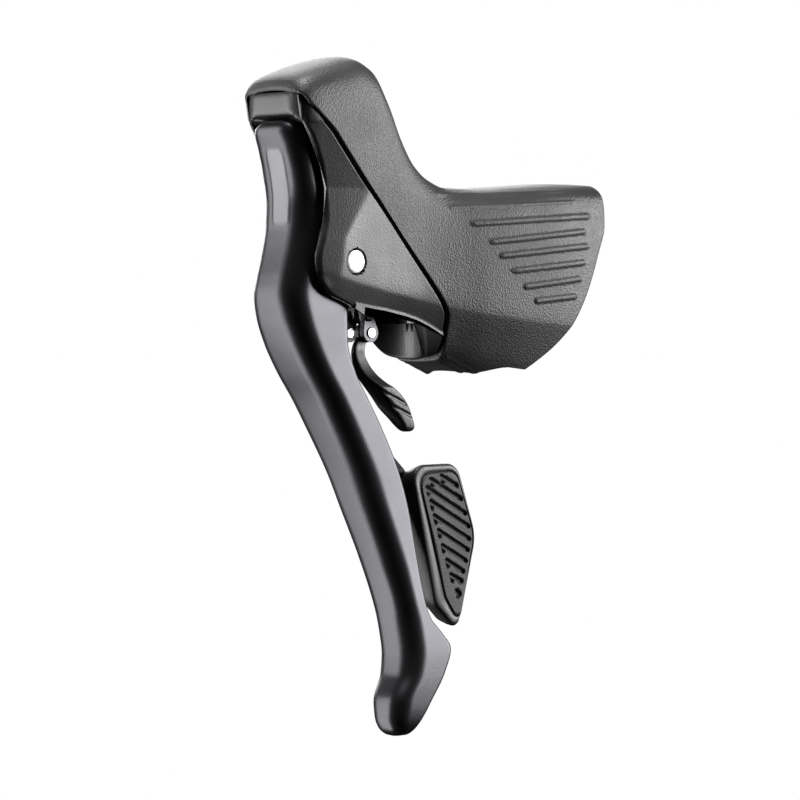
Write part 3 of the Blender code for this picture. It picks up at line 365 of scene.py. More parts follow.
# %% Build the hood
HOOD_WALL = 2.2
STRIPS = ((37.8, 10.35, 75.5, 13.1), (43.2, 5.85, 73.9, 9.1), (46.3, 2.35, 74.8, 5.35),
          (50.3, -1.4, 73.5, 1.1), (53.8, -5.4, 72.1, -3.15), (57.5, -9.0, 70.5, -7.65))
FINE_STRIPS = ((27.5, 17.6, 68.1, 19.4), (31.0, 14.3, 70.5, 16.6))
UNDER_STRIPS = ((-11.6, 34.0, -11.6, 52.0), (-8.8, 33.6, -8.8, 47.0), (-6.0, 33.4, -6.0, 43.0),
                (6.0, 33.4, 6.0, 43.0), (8.8, 33.6, 8.8, 47.0), (11.6, 34.0, 11.6, 52.0))


def rubber_hood():
    """Outer rows from seam to rear cut, then inner rows back again, joined into one skin."""
    u = spread_columns(420, 45.0, 2.2)
    front = halve(np.full_like(u, NOSE), np.full_like(u, 40.0),
                  lambda y: y < seam_y(outer_form(y, u, 0.0)[:, 2]))
    rear = halve(np.full_like(u, 34.0), np.full_like(u, 90.0),
                 lambda y: y < rear_y(*outer_form(y, u, 0.0)[:, ::2].T))
    near = np.array((0.0, 0.08, 0.2, 0.38, 0.62, 0.95))[:, None]
    share = np.linspace(0.0, 1.0, 132)[:, None]
    start, stop = front + 1.4, rear - 1.4
    y = np.concatenate((front + near, start + (stop - start) * share, rear - near[::-1]))
    outer = outer_form(y, u[None, :], 0.0)
    normal = grid_normals(outer)
    step = np.linalg.norm(np.diff(outer, axis=0), axis=-1)
    from_front = np.concatenate((np.zeros((1, len(u))), np.cumsum(step, axis=0)))
    from_rear = from_front[-1:] - from_front
    raised = 0.42 * bar_height(segment_distance(outer[..., 1:], STRIPS), 0.8)
    raised += 0.24 * bar_height(segment_distance(outer[..., 1:], FINE_STRIPS), 0.5)
    flank = np.clip((np.abs(normal[..., 0]) - 0.3) / 0.3, 0.0, 1.0)
    under = 0.3 * bar_height(segment_distance(outer[..., :2], UNDER_STRIPS), 0.55)
    raised = raised * flank + under * np.clip((-normal[..., 2] - 0.55) / 0.2, 0.0, 1.0)
    sunk = edge_drop(from_front, 0.7) + edge_drop(from_rear, 1.0)
    outer = outer + normal * (raised - sunk)[..., None]
    back = np.linspace(1.0, 0.0, 26)[:, None]
    inner_y = np.maximum(front + (rear - front) * back, NOSE + HOOD_WALL)
    inner = outer_form(inner_y, u[None, :], HOOD_WALL)
    return loft(np.concatenate((outer, inner)), looped=True), raised


hood_shape, hood_raised = rubber_hood()
hood = piece("hood_skin", "bracket", "hood_rubber", ["rubber_hood"], hood_shape)
print("tallest strip, mm:", round(float(hood_raised.max()), 2))

# %% [markdown]
# ## Bracket
# The bracket is a stiff moulding. Ahead of the seam its two side walls are bare, with a
# shallow crease that makes a flatter panel round the pivot pin. A wall is drawn as a
# patch stretched between its four border curves in side view, and its outer face takes
# its x from the same form as the hood, so the two always match. A lip closes the nose
# above the blade, and a floor with a raised rim closes the opening under the bracket.

# %% Bracket walls
SKIN_STEP = 0.6                            # bare bracket sits this far under the hood
SEAM_GAP = 0.42                            # from the hood's edge to the bare panel's edge
BAY_SIDE, NEST_SIDE = 10.4, 9.7            # inner faces of the walls, x
BAY_FRONT, NEST_FLOOR = 1.0, 21.0          # ahead of this y, or above this z, walls are thinner
PIN_RECESS, PIN_FLOOR = 3.45, 11.3         # radius, and the x of its floor
UNDER_HOOD = ((0.0, 1.7), (-1.2, 1.9), (-3.4, 2.0))    # ahead of the border, deep
WALL_FRONT = ((-16.3, 35.6), (-15.0, 33.6), (-13.2, 30.6), (-11.3, 26.6), (-9.6, 22.0), (-8.6, 17.0),
              (-8.8, 11.0), (-10.2, 5.6), (-11.4, 0.6), (-10.7, -4.6), (-8.0, -7.8), (-1.2, -10.5),
              (4.2, -13.2))
CREASE = np.array(((-16.9, 41.1), (-15.4, 39.3), (-12.4, 36.6), (-8.3, 33.1), (-4.4, 28.5), (2.5, 20.5),
                   (4.5, 18.1), (-3.9, 5.6), (-4.5, -0.6), (-5.5, -5.6)))
ARCH_MIDDLE, ARCH_RADIUS = 18.6, 10.4      # round end of the opening underneath
RIM_WIDTH, RIM_HEIGHT = 1.9, 0.55
FLOOR_END, FLOOR_TOP = 30.9, -15.0         # y where the hood covers it, and its inner z
FACET_SLOPE = 0.2
FRONT_FACE, NOSE_ROUND = NOSE + SKIN_STEP + 0.05, 3.2


def side_x(y, z, inset):
    """Half-width of the form at side-view point (y, z), found by halving u until z agrees."""
    u = halve(np.full(y.shape, 0.9), np.full(y.shape, 6.6), lambda v: outer_form(y, v, inset)[..., 2] > z)
    return outer_form(y, u, inset)[..., 0]


def bare_x(y, z):
    """Half-width of the bare bracket: ahead of the crease it slopes in by FACET_SLOPE per mm."""
    ahead = np.interp(z, CREASE[::-1, 1], CREASE[::-1, 0]) - y
    fade = np.clip((z + 6.5) / 3.0, 0.0, 1.0)
    slope = FACET_SLOPE * fade * np.logaddexp(0.0, ahead / 0.3) * 0.3
    return side_x(y, z, SKIN_STEP) - slope - edge_drop(y - FRONT_FACE, NOSE_ROUND)


def lower_edge(y):
    """Height where the form's lower flank meets the mechanism's opening, x = BAY_SIDE."""
    u = halve(np.full(y.shape, 4.4), np.full(y.shape, 6.8),
              lambda v: outer_form(y, v, SKIN_STEP)[..., 0] > BAY_SIDE + 0.15)
    return outer_form(y, u, SKIN_STEP)[..., 2]


def coons(front, back, top, bottom):
    """Patch between four borders: blend across plus blend down less the blend of corners."""
    s = np.linspace(0.0, 1.0, len(front))[:, None, None]
    t = np.linspace(0.0, 1.0, len(top))[None, :, None]
    corners = ((1 - s) * (1 - t) * front[0] + (1 - s) * t * back[0]
               + s * (1 - t) * front[-1] + s * t * back[-1])
    return (1 - t) * front[:, None] + t * back[:, None] + (1 - s) * top[None] + s * bottom[None] - corners


def eased(count):
    """Shares 0 to 1, closer near both ends: even steps mixed with 1 less the cosine."""
    even = np.linspace(0.0, 1.0, count)
    return 0.45 * even + 0.275 * (1.0 - np.cos(math.pi * even))


def wall_patch():
    """The wall in side view, with the seam border and the unit steps ahead of it."""
    down, across = eased(150), eased(110)
    edge = along(SEAM[1:-1], down)
    ways = np.gradient(edge, axis=0)
    ways /= np.linalg.norm(ways, axis=1)[:, None]
    ahead = np.stack((ways[:, 1], -ways[:, 0]), axis=-1)
    back = edge + ahead * SEAM_GAP
    front = along(WALL_FRONT, down)
    bottom_y = front[-1, 0] + (back[-1, 0] - front[-1, 0]) * across
    bottom = np.stack((bottom_y, lower_edge(bottom_y)), axis=-1)
    back[-25:, 1] = np.maximum(back[-25:, 1], lower_edge(back[-25:, 0]))
    front[-1], back[-1] = bottom[0], bottom[-1]
    top = front[0] + (back[0] - front[0]) * across[:, None]
    return coons(front, back, top, bottom), back, ahead


def border_distances(flat):
    """Lengths summed along the grid: from the front border, the seam and the bottom."""
    step = np.linalg.norm(np.diff(flat, axis=1), axis=-1)
    from_front = np.concatenate((np.zeros((len(flat), 1)), np.cumsum(step, axis=1)), axis=1)
    rise = np.linalg.norm(np.diff(flat, axis=0), axis=-1)
    from_bottom = np.cumsum(rise[::-1], axis=0)[::-1]
    from_bottom = np.concatenate((from_bottom, np.zeros((1, flat.shape[1]))))
    return from_front, from_front[:, -1:] - from_front, from_bottom


def inside_x(y, z):
    """Inner face of a wall: thinner ahead of the pivot and up in the nose."""
    return np.where((z > NEST_FLOOR) | (y < BAY_FRONT), NEST_SIDE, BAY_SIDE)


def bracket_wall():
    """Outboard wall: the bare panel up to the seam, a step down, and a strip under the hood.

    Points near the pin recess's circle are moved onto it, and those inside it are sunk.
    """
    flat, back, ahead = wall_patch()
    from_front, from_back, from_bottom = border_distances(flat)
    spoke = np.linalg.norm(flat, axis=-1)
    snapped = np.where(np.abs(spoke - PIN_RECESS) < 0.24, PIN_RECESS, spoke)
    flat = flat * (snapped / np.maximum(spoke, 1e-6))[..., None]
    y, z = flat[..., 0], flat[..., 1]
    below_nose = np.clip((35.0 - z) / 3.0, 0.0, 1.0)
    x = bare_x(y, z) - edge_drop(from_front, 1.3) * below_nose
    x = x - edge_drop(from_back, 0.5) - edge_drop(from_bottom, 0.9)
    x = np.where(snapped < PIN_RECESS - 0.01, PIN_FLOOR, x)
    inside = inside_x(y, z)
    x = np.maximum(x, inside + 0.4)
    under = []
    for shift, sink in UNDER_HOOD:
        strip = back + ahead * shift
        depth = side_x(strip[:, 0], strip[:, 1], SKIN_STEP) - sink
        under.append(np.column_stack((np.maximum(depth, inside[:, -1] + 0.2), strip)))
    outer = np.concatenate((x[..., None], flat), axis=-1)
    outer = np.concatenate((outer, np.stack(under, axis=1)), axis=1)
    inner = outer.copy()
    inner[..., 0] = inside_x(outer[..., 1], outer[..., 2])
    return outer, inner


def bracket_lip():
    """The nose above the blade: the form's plan outline at each height, drawn in at the edge.

    Its lower edge sags by the square of the distance outboard, to meet the walls' fronts.
    """
    y = FRONT_FACE + 12.5 * (1.0 - np.cos(np.linspace(0.0, math.pi / 2.0, 70)))
    rings = []
    for z, drawn_in in ((36.0, 1.3), (36.1, 0.85), (36.4, 0.45), (37.0, 0.12), (37.8, 0.0), (39.0, 0.0),
                        (40.2, 0.0), (41.2, 0.05), (41.9, 0.4)):
        x = bare_x(y, np.full(y.shape, z)) - drawn_in * 0.8 - 0.04
        across = np.linspace(-1.0, 1.0, 31)[1:-1] * x[0]
        side_y = np.maximum(y, y[0] + drawn_in)
        ring_x = np.concatenate((-x[::-1], across, x))
        ring_y = np.concatenate((side_y[::-1], np.full(len(across), y[0] + drawn_in), side_y))
        outboard = np.clip((np.abs(ring_x) - 5.5) / 5.5, 0.0, 1.0)
        sag = 2.6 * outboard ** 2 * np.clip((39.5 - z) / 3.4, 0.0, 1.0)
        rings.append(np.column_stack((ring_x, ring_y, z - sag)))
    return loft(np.array(rings))


def bracket_floor():
    """The underside behind the opening, with a raised rim along the opening's round end."""
    x = (ARCH_RADIUS + 0.1) * np.sin(np.linspace(-1.0, 1.0, 90) * math.pi / 2.0)
    start = ARCH_MIDDLE + np.sqrt(np.clip(ARCH_RADIUS ** 2 - x ** 2, 0.0, None))
    near = np.array((0.0, 0.15, 0.4, 0.8, 1.2, 1.5, RIM_WIDTH))[:, None]
    share = np.linspace(0.0, 1.0, 40)[1:, None]
    squeeze = np.clip((FLOOR_END - start) / 6.0, 0.3, 1.0)
    rim_end = start + RIM_WIDTH * squeeze
    y = np.concatenate((start + near * squeeze, rim_end + share * (FLOOR_END - rim_end)))
    grid_x = np.broadcast_to(x, y.shape)
    u = halve(np.full(y.shape, 4.4), np.full(y.shape, 7.0),
              lambda v: outer_form(y, v, SKIN_STEP)[..., 0] > np.abs(grid_x))
    z = outer_form(y, u, SKIN_STEP)[..., 2]
    from_arch = np.hypot(grid_x, y - ARCH_MIDDLE) - ARCH_RADIUS
    from_arch = np.where(y < ARCH_MIDDLE, ARCH_RADIUS - np.abs(grid_x), from_arch)
    rim = RIM_HEIGHT * np.clip((RIM_WIDTH - from_arch) / 0.7, 0.0, 1.0)
    z = z - rim + edge_drop(np.maximum(from_arch, 0.0), 0.7) + edge_drop(FLOOR_END - y, 0.5)
    outer = np.stack((grid_x, y, z), axis=-1)
    tail = outer[-1:] + np.array([[[0.0, 0.1, 1.9]], [[0.0, 3.2, 1.0]]])
    outer = np.concatenate((outer, tail))
    inner = outer.copy()
    inner[..., 2] = FLOOR_TOP
    return plate(outer, inner)


wall_outer, wall_inner = bracket_wall()
MIRROR = np.array((-1.0, 1.0, 1.0))
shell = weld(plate(wall_outer, wall_inner), plate(wall_outer * MIRROR, wall_inner * MIRROR),
             bracket_lip(), bracket_floor())
bracket = piece("bracket_shell", "bracket", "bracket_nylon", ["bracket_body"], shell, 38.0)

# %% [markdown]
# ## Saddle under the hood
# Behind the mechanism bay the bracket is a block with the saddle for the bar, the strap's
# slots and the cable holes. The measured solid already has all of that, so a copy of it
# is welded and everything ahead of the bay's rear wall is cut off.

# %% Saddle
BAY_REAR = 28.9
HOOD_COVERS = 33.5                         # behind this y the hood hides the block
DRAWN_IN, LIFTED = 0.955, 0.0006           # keeps the block's bare part inside the new shell
UNDERSIDE = -15.5
BLOCK_SIDES = [(0, 1, 3, 2), (4, 6, 7, 5), (0, 4, 5, 1), (2, 3, 7, 6), (0, 2, 6, 4), (1, 5, 7, 3)]


def saddle():
    """A welded copy of the measured bracket, kept only behind the bay's rear wall."""
    mesh = frame["nodes"]["bracket_body"].data.copy()
    mesh.name = "bracket_saddle"
    item = new_object("bracket_saddle", mesh)
    cutter = bpy.data.meshes.new("cutter")
    corners = [(x, y, z) for x in (-40.0, 40.0) for y in (-60.0, BAY_REAR) for z in (-60.0, 80.0)]
    cutter.from_pydata(((np.array(corners) + PIVOT) * 0.001).tolist(), [], BLOCK_SIDES)
    tool = new_object("cutter", cutter)
    joined = item.modifiers.new("joined", "WELD")
    joined.merge_threshold = 1e-6
    cut = item.modifiers.new("cut", "BOOLEAN")
    cut.operation, cut.solver, cut.object = "DIFFERENCE", "EXACT", tool
    bpy.context.view_layer.update()
    graph = bpy.context.evaluated_depsgraph_get()
    item.data = bpy.data.meshes.new_from_object(item.evaluated_get(graph))
    item.modifiers.clear()
    bpy.data.objects.remove(tool, do_unlink=True)
    points = np.empty(len(item.data.vertices) * 3)
    item.data.vertices.foreach_get("co", points)
    points = points.reshape(-1, 3)
    bare = points[:, 1] * 1000.0 - PIVOT[1] < HOOD_COVERS
    points[bare, 0] *= DRAWN_IN
    low = bare & (points[:, 2] * 1000.0 - PIVOT[2] < UNDERSIDE)
    points[low, 2] += LIFTED
    item.data.vertices.foreach_set("co", points.ravel())
    item.data.shade_smooth()
    item.data.set_sharp_from_angle(angle=math.radians(35.0))
    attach(item, "bracket")
    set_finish(item, "bracket_nylon")
    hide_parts("bracket_body")
    print("bracket_saddle", len(item.data.polygons), "faces")
    return item


saddle_block = saddle()

# %% [markdown]
# ## Brake lever blade
# The blade is a C-shaped channel, open to the rear, that flares outboard towards its
# tip. Every row of the grid is one such section at a height z, made of straight runs and
# arcs whose sizes come from the table, so the corner radius stays even all the way down.

# %% Blade
BLADE = np.array((                         # z, front, rear, half-width
    (35.2, -15.2, -12.4, 2.6),
    (35.0, -16.4, -11.4, 5.0),
    (34.2, -17.4, -10.2, 7.2),
    (32.5, -17.9, -9.4, 8.3),
    (28.0, -16.6, -8.8, 8.5),
    (21.0, -14.8, -7.9, 8.5),
    (15.0, -14.0, -5.0, 8.5),
    (9.0, -14.2, -0.4, 8.5),
    (5.0, -14.9, 3.9, 8.5),
    (2.0, -15.6, 5.6, 8.5),
    (-1.0, -16.4, 5.9, 8.5),
    (-4.0, -17.2, 4.6, 8.5),
    (-8.0, -17.9, 2.3, 8.6),
    (-14.0, -16.8, 0.5, 9.0),
    (-20.0, -14.6, 0.4, 9.1),
    (-27.5, -10.8, 2.5, 9.0),
    (-34.5, -6.6, 6.3, 8.8),
    (-41.0, -3.4, 9.7, 8.6),
    (-53.0, 1.7, 14.5, 8.1),
    (-61.0, 4.3, 16.4, 7.8),
    (-74.5, 8.8, 18.0, 7.4),
    (-84.5, 11.5, 19.4, 7.2),
    (-89.0, 12.3, 20.8, 7.1),
    (-93.0, 12.7, 24.2, 7.1),
    (-96.5, 12.9, 26.6, 7.1),
    (-102.5, 11.8, 24.2, 6.9),
    (-110.0, 8.0, 19.0, 6.3),
    (-114.0, 7.6, 16.2, 5.7),
    (-116.5, 8.2, 14.2, 4.8),
    (-118.0, 9.6, 12.8, 2.8),
    (-118.3, 10.6, 11.6, 0.8),
))
FLARE = np.array(((40.0, 0.0), (-10.0, 0.0), (-20.0, 0.3), (-34.0, 1.7), (-54.0, 5.0), (-74.0, 8.2),
                  (-97.0, 11.7), (-118.5, 14.4)))    # z, how far outboard its middle is
TOP_ROWS = (35.2, 35.1, 35.0, 34.7, 34.2, 33.6)
TIP_ROWS = (-113.0, -114.0, -115.0, -115.8, -116.5, -117.1, -117.6, -118.0, -118.3)
WEB, FLANGE = 2.6, 2.3                     # thickness of the front and of the sides
FRONT_ROUNDS = (4.3, 5.8)                  # front corners, inboard and outboard
CHANNEL_FADE, CHANNEL_END = -66.0, -80.0   # z where the channel starts and stops closing
CROWN = 0.35
PANEL = (0.0, 18.6, 3.1, 9.2)              # plain panel on the front: x, z, half sizes
PANEL_ROUND, PANEL_HEIGHT = 1.6, 0.12


def run(x0, y0, x1, y1, count):
    """Straight run on every row: start plus a share of the way to the end, end left out."""
    share = np.arange(count) / count
    x = x0[:, None] + (x1 - x0)[:, None] * share
    return np.stack((x, y0[:, None] + (y1 - y0)[:, None] * share), axis=-1)


def arc(x, y, radius, start, stop, count):
    """Arc on every row: centre plus radius times (cosine, sine), end left out."""
    angle = np.radians(start + (stop - start) * np.arange(count) / count)
    across = x[:, None] + radius[:, None] * np.cos(angle)
    return np.stack((across, y[:, None] + radius[:, None] * np.sin(angle)), axis=-1)


def blade_sections(z, front, rear, half, middle):
    """C-shaped outlines: side, front, side, flange end, channel, flange end."""
    depth = rear - front
    inboard, outboard = (np.minimum(np.minimum(most, half * 0.72), depth * 0.6)
                         for most in FRONT_ROUNDS)
    fade = np.clip((CHANNEL_FADE - z) / (CHANNEL_FADE - CHANNEL_END), 0.0, 1.0) ** 1.5
    fade = np.maximum(fade, np.clip((z - 31.0) / 2.0, 0.0, 1.0))
    floor = front + WEB + (rear - front - WEB - 0.06) * fade
    hollow = np.maximum(rear - floor, 0.05)
    end = np.minimum(0.9, np.minimum(hollow / 2.0, half * 0.25))
    corner = np.minimum(1.0, hollow / 2.0)
    edge = np.minimum(1.0, np.minimum(depth * 0.2, half * 0.3))
    low, high = middle - half, middle + half
    wall = np.minimum(FLANGE, half * 0.45)
    return np.concatenate((
        run(low, rear - edge, low, front + inboard, 14),
        arc(low + inboard, front + inboard, inboard, 180.0, 270.0, 14),
        run(low + inboard, front, high - outboard, front, 26),
        arc(high - outboard, front + outboard, outboard, 270.0, 360.0, 16),
        run(high, front + outboard, high, rear - edge, 14),
        arc(high - edge, rear - edge, edge, 0.0, 90.0, 5),
        arc(high - wall + end, rear - end, end, 90.0, 180.0, 5),
        run(high - wall, rear - end, high - wall, floor + corner, 8),
        arc(high - wall - corner, floor + corner, corner, 0.0, -90.0, 5),
        run(high - wall - corner, floor, low + wall + corner, floor, 10),
        arc(low + wall + corner, floor + corner, corner, 270.0, 180.0, 5),
        run(low + wall, floor + corner, low + wall, rear - end, 8),
        arc(low + wall - end, rear - end, end, 0.0, 90.0, 5),
        arc(low + edge, rear - edge, edge, 90.0, 180.0, 5)), axis=1)


def blade():
    """The sections row by row, with a crowned front and the raised panel on it.

    The crown is CROWN times 1 less the square of the share of the half-width.
    """
    z = np.concatenate((TOP_ROWS, np.linspace(33.0, -112.0, 210), TIP_ROWS))
    front, rear, half = (smooth(BLADE, k, z) for k in (1, 2, 3))
    middle = smooth(FLARE, 1, z)
    section = blade_sections(z, front, rear, half, middle)
    height = np.broadcast_to(z[:, None, None], section.shape[:2] + (1,))
    grid = np.concatenate((section, height), axis=-1)
    crown = np.clip(1.0 - ((grid[..., 0] - middle[:, None]) / half[:, None]) ** 2, 0.0, 1.0)
    is_front = grid[..., 1] < (front + 0.02)[:, None]
    lowest = crown.min(axis=1, initial=1.0, where=is_front)[:, None]
    grid[..., 1] -= np.where(is_front, CROWN * (crown - lowest), 0.0)
    x, z, half_x, half_z = PANEL
    past_x = np.clip(np.abs(grid[..., 0] - x) - half_x + PANEL_ROUND, 0.0, None)
    past_z = np.clip(np.abs(grid[..., 2] - z) - half_z + PANEL_ROUND, 0.0, None)
    from_edge = np.hypot(past_x, past_z) - PANEL_ROUND
    panel = np.clip(0.5 - from_edge / 0.5, 0.0, 1.0) * is_front
    grid[..., 1] -= PANEL_HEIGHT * panel
    return loft(grid), panel.ravel()


blade_shape, blade_panel = blade()
lever = piece("lever_blade", "blade", "blade_coat", ["brake_lever"], blade_shape, 60.0)
panel_mask = lever.data.attributes.new("panel", "FLOAT", "POINT")
panel_values = np.zeros(len(lever.data.vertices))
panel_values[:len(blade_panel)] = blade_panel
panel_mask.data.foreach_set("value", panel_values)

# %% [markdown]
# ## Large shift paddle
# Behind the blade sits the large paddle: a thick moulded frame with a rubber face pad let
# into it. The frame is drawn as rings round its own middle, each ring the outline drawn
# in by a share, so its edge is softly domed. The pad is a height map: a flat face with
# rounded edges and ten grooves that hook down at their front ends.

# %% Large paddle frame and pad
MAIN_FRAME = ((18.7, -50.8, 3.8), (34.6, -50.4, 4.5), (41.2, -69.0, 12.0), (34.6, -93.2, 1.8),
              (27.0, -86.0, 5.0))          # y, z, corner radius
MAIN_FACE = ((20.9, -53.1, 3.2), (33.9, -52.1, 3.6), (40.4, -69.0, 11.0), (35.0, -91.2, 1.5),
             (30.2, -84.6, 6.0))
FRAME_RINGS = ((5.4, 0.80), (5.42, 0.86), (5.6, 0.90), (6.2, 0.935), (7.2, 0.955), (8.4, 0.972),
               (9.6, 0.99), (10.8, 1.0), (11.4, 0.998), (11.7, 0.988), (11.9, 0.972),
               (12.0, 0.95))               # x, share of the outline
BED_RINGS = ((12.0, 0.3), (11.85, 0.05), (11.0, 0.0), (10.95, -0.6))    # x, how far out
GROOVES = ((28.7, -53.6, 34.1, -56.1), (25.1, -54.4, 35.5, -59.5), (23.8, -56.5, 37.0, -63.2),
           (25.1, -60.0, 38.2, -66.5), (26.3, -63.7, 38.4, -69.7), (27.7, -67.3, 37.9, -72.5),
           (29.0, -71.1, 37.2, -75.2), (30.5, -74.9, 36.3, -77.9), (32.0, -78.7, 35.7, -80.4),
           (33.9, -82.7, 35.1, -83.6))
GROOVE_DEPTH, GROOVE_HALF = 0.85, 0.62
PAD_FACE, PAD_BACK, PAD_GAP = 12.35, 11.05, 0.12       # x, x, and room round the pad


def main_frame():
    """Rings of the outline round the paddle's middle, then the inner rim and the pad's bed.

    A ring's point is the middle plus the outline's radius at that angle, times the share.
    """
    angles = np.linspace(-math.pi, math.pi, 240, endpoint=False)
    outline = fillet(MAIN_FRAME)
    face = fillet(MAIN_FACE)
    centre = outline.mean(axis=0)
    outer, inner = polar(outline, centre, angles), polar(face, centre, angles)
    spoke = np.stack((np.cos(angles), np.sin(angles)), axis=-1)
    rings = [np.column_stack((np.full(len(angles), x), centre + spoke * (outer * share)[:, None]))
             for x, share in FRAME_RINGS]
    rings += [np.column_stack((np.full(len(angles), x), centre + spoke * (inner + grow)[:, None]))
              for x, grow in BED_RINGS]
    return loft(np.array(rings))


def main_pad():
    """Height over the face outline: flat, less the rounded edge, less each groove's bar."""
    angles = np.linspace(-math.pi, math.pi, 300, endpoint=False)
    face = fillet(MAIN_FACE)
    centre = face.mean(axis=0)
    reach = polar(face, centre, angles) - PAD_GAP
    rim = 1.0 - 0.07 * (1.0 - np.linspace(0.0, 1.0, 14)) ** 1.6
    share = np.concatenate((np.linspace(0.02, 0.93, 110), rim))
    spoke = np.stack((np.cos(angles), np.sin(angles)), axis=-1)
    flat = centre + spoke * (reach * share[:, None])[..., None]
    hooks = [(a, b, a + 0.5, b - 1.6) for a, b, _, _ in GROOVES]
    cut = GROOVE_DEPTH * bar_height(segment_distance(flat, GROOVES + tuple(hooks)), GROOVE_HALF)
    drop = edge_drop((reach * (1.0 - share[:, None])), 0.8)
    x = PAD_FACE - drop - cut * np.clip(1.0 - drop / 0.4, 0.0, 1.0)
    grid = np.concatenate((x[..., None], flat), axis=-1)
    back = grid[-1:].copy()
    back[..., 0] = PAD_BACK
    return loft(np.concatenate((grid, back)))


paddle_frame = piece("large_paddle_frame", "large_paddle", "paddle_plastic", ["main_paddle"],
                     main_frame(), 60.0)
paddle_pad = piece("large_paddle_pad", "large_paddle", "pad_rubber", ["main_paddle_pad"],
                   main_pad(), 60.0)

# %% [markdown]
# ## Small release paddle
# The release paddle is one moulding: an eye on its hinge pin, a short arm, and a face
# that the fingertip finds above the large paddle. It is a run of rounded rectangles up
# z, with two shallow grooves across the face, and a turned disc makes the eye at its end.

# %% Release paddle
RELEASE = np.array((                       # z, x from and to, y from and to
    (-17.5, 1.5, 2.9, 9.9, 13.1),
    (-21.2, 1.5, 3.1, 7.8, 11.3),
    (-23.1, 1.6, 3.6, 7.4, 10.9),
    (-25.6, 1.8, 4.4, 7.8, 11.8),
    (-28.2, 1.5, 5.6, 9.0, 13.6),
    (-30.0, 1.3, 7.0, 10.6, 15.4),
    (-31.5, 1.0, 8.0, 12.2, 17.6),
    (-33.5, 1.2, 8.0, 13.9, 20.2),
    (-36.0, 1.3, 8.0, 16.0, 22.2),
    (-39.0, 2.7, 8.0, 18.5, 23.4),
    (-41.2, 3.8, 7.9, 20.3, 24.0),
    (-42.1, 4.6, 7.4, 21.2, 23.6),
    (-42.4, 5.2, 6.8, 21.8, 22.9),
))
EYE = (11.5, -17.5)                        # y, z
RELEASE_LINES = ((13.2, -32.4, 20.6, -35.4), (15.3, -35.6, 22.4, -38.4))


def release_paddle():
    """Superellipse sections |a|^5 + |b|^5 = 1 between the table's limits, row by row."""
    z = np.concatenate((np.linspace(-17.5, -42.0, 110), np.array((-42.2, -42.35, -42.4))))
    low_x, high_x, low_y, high_y = (smooth(RELEASE, k, z)[:, None] for k in range(1, 5))
    turn = np.linspace(0.0, 2.0 * math.pi, 88, endpoint=False)
    cosine, sine = np.cos(turn), np.sin(turn)
    size = (np.abs(cosine) ** 5 + np.abs(sine) ** 5) ** -0.2
    x = (low_x + high_x) / 2.0 + (high_x - low_x) / 2.0 * cosine * size
    y = (low_y + high_y) / 2.0 + (high_y - low_y) / 2.0 * sine * size
    flat = np.stack((y, np.broadcast_to(z[:, None], y.shape)), axis=-1)
    groove = 0.35 * bar_height(segment_distance(flat, RELEASE_LINES), 0.5)
    x = x - groove * np.clip((x - high_x + 0.6) / 0.4, 0.0, 1.0)
    return loft(np.concatenate((x[..., None], flat), axis=-1))


def turned(profile, centre, sides):
    """A (x, radius) profile turned about a line along x through centre (y, z)."""
    turn = np.linspace(0.0, 2.0 * math.pi, sides, endpoint=False)
    profile = np.asarray(profile, dtype=float)
    ring = np.stack((np.cos(turn), np.sin(turn)), axis=-1)
    flat = np.asarray(centre) + profile[:, 1, None, None] * ring
    x = np.broadcast_to(profile[:, 0, None, None], flat.shape[:2] + (1,))
    return loft(np.concatenate((x, flat), axis=-1))


eye = turned(((1.3, 2.2), (1.45, 2.5), (2.85, 2.5), (3.0, 2.2)), EYE, 48)
small_paddle = piece("small_paddle", "small_paddle", "paddle_plastic", ["release_paddle"],
                     weld(release_paddle(), eye), 60.0)

# %% [markdown]
# ## Brake pivot pin
# The blade turns on a ground steel pin, whose end shows in a recess in the bracket's
# side. It is a profile turned about its own axis, with a small rounded edge.

# %% Brake pin
PIN_PROFILE = ((-12.2, 2.5), (-12.1, 2.85), (-11.85, 3.0), (11.85, 3.0), (12.1, 2.85), (12.2, 2.5),
               (12.24, 1.2))               # x, radius
pin = piece("brake_pin", "bracket", "steel", ["pivot_pin"], turned(PIN_PROFILE, (0.0, 0.0), 72), 30.0)

# %% [markdown]
# ## Finishes
# Each finish starts from what the real surface is and how it was made: moulded grain on
# rubber and nylon, a satin coat on alloy, ground steel. An image would need unwrapping,
# so the patterns are worked out in space instead. They read Object coordinates, in
# metres, so a scale of 1000 / d gives cells d mm wide. Grain is a bump, because its
# height is only hundredths of a mm. Most real grains are finer, but wouldn't show.

# %% Node helpers
def linear(code):
    """sRGB hex to linear: c / 12.92 up to 0.04045, else ((c + 0.055) / 1.055) ^ 2.4."""
    parts = [int(code[i:i + 2], 16) / 255.0 for i in (0, 2, 4)]
    return tuple(c / 12.92 if c <= 0.04045 else ((c + 0.055) / 1.055) ** 2.4 for c in parts) + (1.0,)


def add(owner, kind, settings=None, values=None, links=()):
    """Adds a node: settings are its properties, values its sockets, links (socket, node, output)."""
    node = owner.node_tree.nodes.new(kind)
    for key, value in (settings or {}).items():
        setattr(node, key, value)
    for key, value in (values or {}).items():
        node.inputs[key].default_value = value
    for key, source, output in links:
        owner.node_tree.links.new(source.outputs[output], node.inputs[key])
    return node


